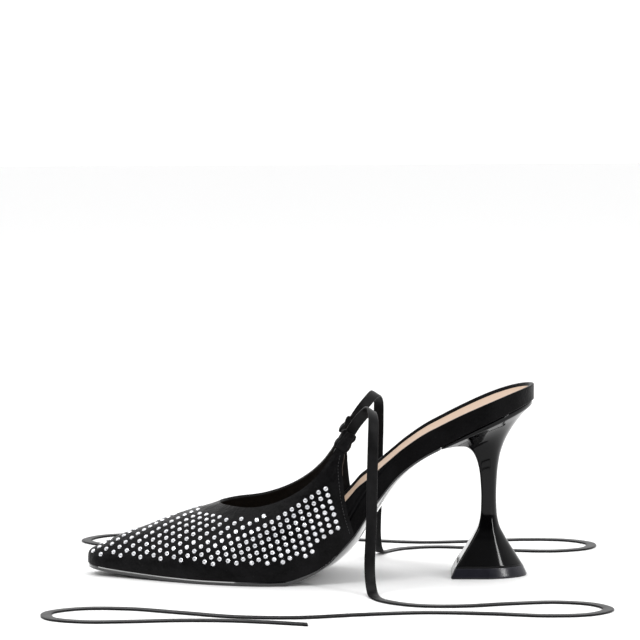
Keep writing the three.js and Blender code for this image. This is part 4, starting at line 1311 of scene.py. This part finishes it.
@dataclass
class Tie(Piece):
    """Loose satin tie: it leaves its loop, flops over and lies uncoiled on the floor."""

    side: Side
    route: Sequence[tuple[float, float, float]]
    name: str = field(init=False)
    nodes: tuple[str, ...] = field(init=False)
    slot: str = "tie"
    flat_landing: float = 14.0
    floor_gap: float = 0.05
    step: float = 2.0
    cut_slant: float = 2.4
    drops: tuple[tuple[float, float, float], ...] = (
        (4.5, 2.5, 5.5), (8, 9, 8.5), (9.5, 17, 5), (9.5, 22, -6), (9, 23.5, -24), (8.5, 23.5, -46),
    )

    def __post_init__(self) -> None:
        """Names the tie and works out its path."""
        self.name = f"satin_tie_{self.side.name.lower()}"
        self.nodes = (f"tie_{self.side.name.lower()}",)
        tip = wing_tip(self.side)
        start = tip.end + tip.along * 2 * SIZE.clearance
        out = tip.end + tip.along * (SIZE.loop_length / 2 + 7)
        drop = [out + np.array([x, self.side * y, z]) for x, y, z in self.drops]
        self.exit = tip.end + tip.along * (SIZE.loop_length / 2)
        self.path = catmull_rom(np.array([start, out, *drop, *self.route], float), self.step)

    def build(self) -> bpy.types.Object:
        """Builds the ribbon along its path, edge-on to its wing and flat on the floor."""
        tangent = np.gradient(self.path, axis=0)
        tangent /= np.linalg.norm(tangent, axis=1, keepdims=True)
        width = wing_tip(self.side).width
        airborne = width * (-1 if width[0] > 0 else 1)
        level = np.stack([tangent[:, 1], -tangent[:, 0], np.zeros(len(tangent))], 1) * -self.side
        level /= np.maximum(np.linalg.norm(level, axis=1, keepdims=True), 1e-9)
        across = lerp(level, airborne, smoothstep(self.path[:, 2], 1, self.flat_landing)[:, None])
        across -= tangent * (across * tangent).sum(1, keepdims=True)
        across /= np.linalg.norm(across, axis=1, keepdims=True)
        over = np.cross(tangent, across)
        angle = np.linspace(0, 2 * math.pi, 21)[:-1]
        wide = np.sign(np.cos(angle)) * np.abs(np.cos(angle)) ** 0.35 * SIZE.tie_width / 2
        thick = np.sign(np.sin(angle)) * np.abs(np.sin(angle)) ** 0.6 * SIZE.tie_thickness / 2
        rings = self.path[:, None] + across[:, None] * wide[None, :, None] + over[:, None] * thick[None, :, None]
        rings[-1] += (wide / SIZE.tie_width * self.cut_slant)[:, None] * tangent[-1]
        rings[..., 2] = np.maximum(rings[..., 2], self.floor_gap)
        mesh = Mesh()
        mesh.tube(rings)
        return mesh.make(self.name, RIBBON_SATIN)

    def dress(self, obj: bpy.types.Object) -> None:
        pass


@dataclass
class Stones(Piece):
    """Field of small clear stones over the vamp and wings, set on slanting rows."""

    name: str = "clear_stones"
    nodes: tuple[str, ...] = ()
    slot: str = ""
    radius: float = 1.22
    height: float = 0.8
    sides: int = 12
    nearest: float = 2.9
    first: tuple[float, float] = (10.3, 50.8)
    along: tuple[float, float] = (-3.46, -2.17)
    down: tuple[float, float] = (0.9, -3.42)
    wing_rows: int = 10
    vamp_rows: int = 11
    vamp_foot: tuple[float, float] = (-53.5, 12.0)
    vamp_gap: float = 5.5
    pitch: tuple[float, float] = (4.2, 4.5)
    slopes: tuple[float, float, float] = (0.62, 0.86, 1.2)
    wing_bow: float = 2.0
    bow_at: float = -35.0
    bow_reach: float = 12.0
    toe_end: float = -116.5

    def lattice(self) -> np.ndarray:
        """Places of the stones in the flattened panel: along the shoe, and up over its skin.

        The wing's rows lie side by side. The vamp's rows start at even gaps along the field's lower edge,
        every other one half a pitch up, and climb more steeply towards the toe.
        """
        rows = []
        for k in range(self.wing_rows):
            start = np.array(self.first) + k * np.array(self.down)
            rows.append(self._row(start, np.array(self.along), self.wing_bow))
        throat, middle, toe = self.slopes
        for k in range(1, self.vamp_rows + 1):
            slope = lerp(throat, middle, smoothstep(k, 0, 4)) + (toe - middle) * smoothstep(k, 7, 11)
            step = np.array([1, slope]) / math.hypot(1, slope) * lerp(*self.pitch, min(k / 4, 1))
            foot = np.array(self.vamp_foot) - np.array([self.vamp_gap * k, 0]) + (k % 2) * step / 2
            row = self._row(foot, step, self.wing_bow * max(1 - k / 3, 0))
            rows.append(row[row[:, 0] < self.first[0] + 1])
        return np.concatenate(rows)

    def _row(self, start: np.ndarray, step: np.ndarray, bow: float) -> np.ndarray:
        """Places along one row from its first stone, with its bow beside the throat."""
        row = start + np.arange(40)[:, None] * step
        row[:, 1] += bow * np.exp(-(((row[:, 0] - self.bow_at) / self.bow_reach) ** 2))
        return row

    def field(self, side: Side) -> tuple[np.ndarray, np.ndarray]:
        """Centres and outward directions of the stones on one side."""
        t = np.linspace(0, 1, 260)
        stations = np.linspace(0.004, 0.6, 340)
        sheet = LAST.skin(stations[:, None], way(side, t)[None], SKIN)
        run = np.cumsum(np.linalg.norm(np.diff(sheet[..., 1:], axis=1), axis=-1), axis=1)
        run = np.concatenate([np.zeros((len(stations), 1)), run], 1) + sheet[:, :1, 2]
        x, up = self.lattice().T
        share = LAST.share(x)
        inside = (share > stations[0]) & (share < stations[-1])
        up, share = up[inside], share[inside]
        row = np.clip(np.searchsorted(stations, share), 0, len(stations) - 1)
        around = way(side, np.array([np.interp(u, run[r], t) for u, r in zip(up, row)]))
        point = LAST.skin(share, around, SKIN)
        outer = LAST.skin(share, around, SKIN + 1)
        top = np.interp(point[:, 0], FIELD_TOP["x"], FIELD_TOP["z"], left=1e3)
        low = np.interp(point[:, 0], FIELD_BOTTOM["x"], FIELD_BOTTOM["z"])
        keep = (up < run[row, -1] - 0.9) & (point[:, 2] < top) & (point[:, 2] > low)
        keep &= point[:, 0] > self.toe_end
        return point[keep], (outer - point)[keep]

    def build(self) -> bpy.types.Object:
        """Builds all stones as one faceted mesh."""
        centres, normals = [], []
        for side in Side:
            for point, normal in zip(*self.field(side)):
                if all(np.linalg.norm(point - other) > self.nearest for other in centres):
                    centres.append(point)
                    normals.append(normal)
        mesh = Mesh()
        spin = np.random.default_rng(7).uniform(0, math.pi, len(centres))
        for centre, normal, turn in zip(centres, normals, spin):
            points, faces = self._stone(turn)
            east = np.cross(normal, [0.0, 0.0, 1.0])
            east /= np.linalg.norm(east)
            north = np.cross(normal, east)
            mesh.add(centre + points @ np.array([east, north, normal]), faces)
        LOG.info("%d stones", len(centres))
        return mesh.make(self.name, STONE, weld=0, smooth=False)

    def _stone(self, turn: float) -> tuple[np.ndarray, list[tuple[int, ...]]]:
        """One faceted dome.

        Args:
            turn: how far it is turned in its setting, in radians.

        Returns:
            Its points and faces, with the setting's plane at height 0.
        """
        n = self.sides
        angle = np.arange(n) * 2 * math.pi / n + turn
        half = math.pi / n
        rings = ((self.radius * 0.96, -0.1, 0.0), (self.radius, 0.2, 0.0), (0.84, 0.6, half), (0.46, self.height, 0.0))
        points = [np.column_stack([r * np.cos(angle + o), r * np.sin(angle + o), np.full(n, h)])
                  for r, h, o in rings]
        faces = [tuple(3 * n + i for i in range(n)), tuple(n - 1 - i for i in range(n))]
        for i in range(n):
            j = (i + 1) % n
            faces.append((i, j, n + j, n + i))
            faces.append((n + i, n + j, 2 * n + i))
            faces.append((n + j, 2 * n + j, 2 * n + i))
            faces.append((2 * n + i, 2 * n + j, 3 * n + j))
            faces.append((2 * n + i, 3 * n + j, 3 * n + i))
        return np.concatenate(points), faces


@dataclass
class Stitches(Piece):
    """Fine stitches inside the wings' back edges."""

    name: str = "edge_stitches"
    nodes: tuple[str, ...] = ()
    slot: str = ""
    inset: float = 2.1
    pitch: float = 1.7
    length: float = 1.25
    thickness: float = 0.3

    def build(self) -> bpy.types.Object:
        """Builds each stitch as a small rounded bead along the line."""
        mesh = Mesh()
        for side in Side:
            line = wing_back(np.linspace(0.02, 0.92, 200)) - np.array([self.inset, 0])
            share, around = LAST.solve(side, line[:, 0], line[:, 1], SKIN)
            points = LAST.skin(share, around, SKIN)
            outer = LAST.skin(share, around, SKIN + 1)
            run = np.concatenate([[0], np.cumsum(np.linalg.norm(np.diff(points, axis=0), axis=1))])
            for at in np.arange(0.5, run[-1] - 0.5, self.pitch):
                i = int(np.searchsorted(run, at))
                ahead = points[min(i + 1, len(points) - 1)] - points[max(i - 1, 0)]
                self._bead(mesh, points[i], ahead, outer[i] - points[i])
        return mesh.make(self.name, THREAD, weld=0)

    def _bead(self, mesh: Mesh, centre: np.ndarray, ahead: np.ndarray, normal: np.ndarray) -> None:
        """Adds one stitch.

        Args:
            mesh: the mesh that it joins.
            centre: its middle.
            ahead: the direction of the line there.
            normal: the direction out of the satin.
        """
        ahead = ahead / np.linalg.norm(ahead)
        across = np.cross(normal, ahead)
        angle = np.linspace(0, 2 * math.pi, 9)[:-1]
        rings = []
        for place in np.linspace(-1, 1, 7):
            radius = self.thickness / 2 * math.sqrt(max(0.02, 1 - place * place))
            offset = np.cos(angle)[:, None] * across + np.sin(angle)[:, None] * normal
            rings.append(centre + ahead * place * self.length / 2 + radius * offset)
        mesh.tube(np.array(rings))


@dataclass(frozen=True)
class Light:
    """A soft area light, placed in metres."""

    name: str
    place: tuple[float, float, float]
    aim: tuple[float, float, float]
    size: tuple[float, float]
    power: float

    def make(self) -> bpy.types.Object:
        """Adds the light to the scene."""
        data = bpy.data.lights.new(self.name, "AREA")
        data.shape = "RECTANGLE"
        data.size, data.size_y = self.size
        data.energy = self.power
        obj = bpy.data.objects.new(self.name, data)
        bpy.context.scene.collection.objects.link(obj)
        obj.location = self.place
        obj.rotation_euler = (Vector(self.aim) - Vector(self.place)).to_track_quat("-Z", "Y").to_euler()
        return obj


@dataclass(frozen=True)
class Studio:
    """Camera at the photograph's angle, pale floor and soft light."""

    aim: tuple[float, float, float] = (0.0061, 0.0, 0.13362)
    distance: float = 1.6
    eye_height: float = 0.2714
    turn: float = 2.7
    roll: float = -0.4
    focal_pixels: float = 3091
    picture_pixels: float = 640
    bright_side: tuple[float, float, float] = (0.0, 0.76, 0.65)
    dim: float = 0.05
    bright: float = 1.2
    lights: tuple[Light, ...] = (
        Light("overhead", (0.0, 0.35, 1.9), (0.0, 0.0, 0.0), (2.2, 1.6), 9),
        Light("key", (-1.0, -0.85, 1.3), (-0.04, 0.0, 0.02), (0.7, 0.7), 8),
        Light("strip", (0.95, -0.75, 0.5), (0.09, 0.0, 0.05), (0.1, 0.8), 6),
    )

    def camera(self) -> bpy.types.Object:
        """Adds the camera."""
        data = bpy.data.cameras.new("camera")
        data.sensor_width = 36
        data.lens = self.focal_pixels / self.picture_pixels * data.sensor_width
        data.clip_start = 0.05
        data.clip_end = 50
        obj = bpy.data.objects.new("camera", data)
        bpy.context.scene.collection.objects.link(obj)
        turn = math.radians(self.turn)
        obj.location = (self.aim[0] + self.distance * math.sin(turn), -self.distance * math.cos(turn), self.eye_height)
        facing = (Vector(self.aim) - obj.location).to_track_quat("-Z", "Y")
        obj.rotation_euler = (facing @ Quaternion((0, 0, 1), math.radians(self.roll))).to_euler()
        bpy.context.scene.camera = obj
        return obj

    def stage(self) -> None:
        """Adds the floor and the lights."""
        mesh = Mesh()
        reach = 6000.0
        corners = [(-reach, -reach, 0), (reach, -reach, 0), (reach, reach, 0), (-reach, reach, 0)]
        mesh.add(np.array(corners), [(0, 1, 2, 3)])
        floor = mesh.make("floor", FLOOR, weld=0, smooth=False)
        for light in self.lights:
            light.make()
        self.world()
        bpy.context.scene.view_settings.view_transform = "Standard"

    def world(self) -> None:
        """Surrounds the shoe with a studio that is bright above and behind, and dim in front."""
        world = bpy.data.worlds.new("world")
        world.use_nodes = True
        tree = world.node_tree
        background = tree.nodes["Background"]
        background.inputs["Color"].default_value = (1, 1, 1, 1)
        place = tree.nodes.new("ShaderNodeTexCoord")
        facing = tree.nodes.new("ShaderNodeVectorMath")
        facing.operation = "DOT_PRODUCT"
        facing.inputs[1].default_value = self.bright_side
        tree.links.new(place.outputs["Generated"], facing.inputs[0])
        span = tree.nodes.new("ShaderNodeMapRange")
        span.interpolation_type = "SMOOTHSTEP"
        span.inputs["From Min"].default_value = -0.5
        span.inputs["From Max"].default_value = 0.4
        span.inputs["To Min"].default_value = self.dim
        span.inputs["To Max"].default_value = self.bright
        tree.links.new(facing.outputs["Value"], span.inputs["Value"])
        tree.links.new(span.outputs["Result"], background.inputs["Strength"])
        bpy.context.scene.world = world


def main() -> None:
    """Builds the camera, the ties, the shoe's pieces and the stage."""
    logging.basicConfig(level=logging.INFO, format="%(name)s: %(message)s")
    studio = Studio()
    studio.camera()
    pieces: list[Piece] = [
        Tie(Side.LATERAL, LATERAL_ROUTE),
        Tie(Side.MEDIAL, MEDIAL_ROUTE),
        Upper(),
        Outsole(),
        Footbed(),
        SockLining(),
        Heel(),
        HeelTip(),
        TieLoop(Side.LATERAL),
        TieLoop(Side.MEDIAL),
        Stones(),
        Stitches(),
    ]
    for piece in pieces:
        piece.place()
    studio.stage()


if __name__ == "__main__":
    main()
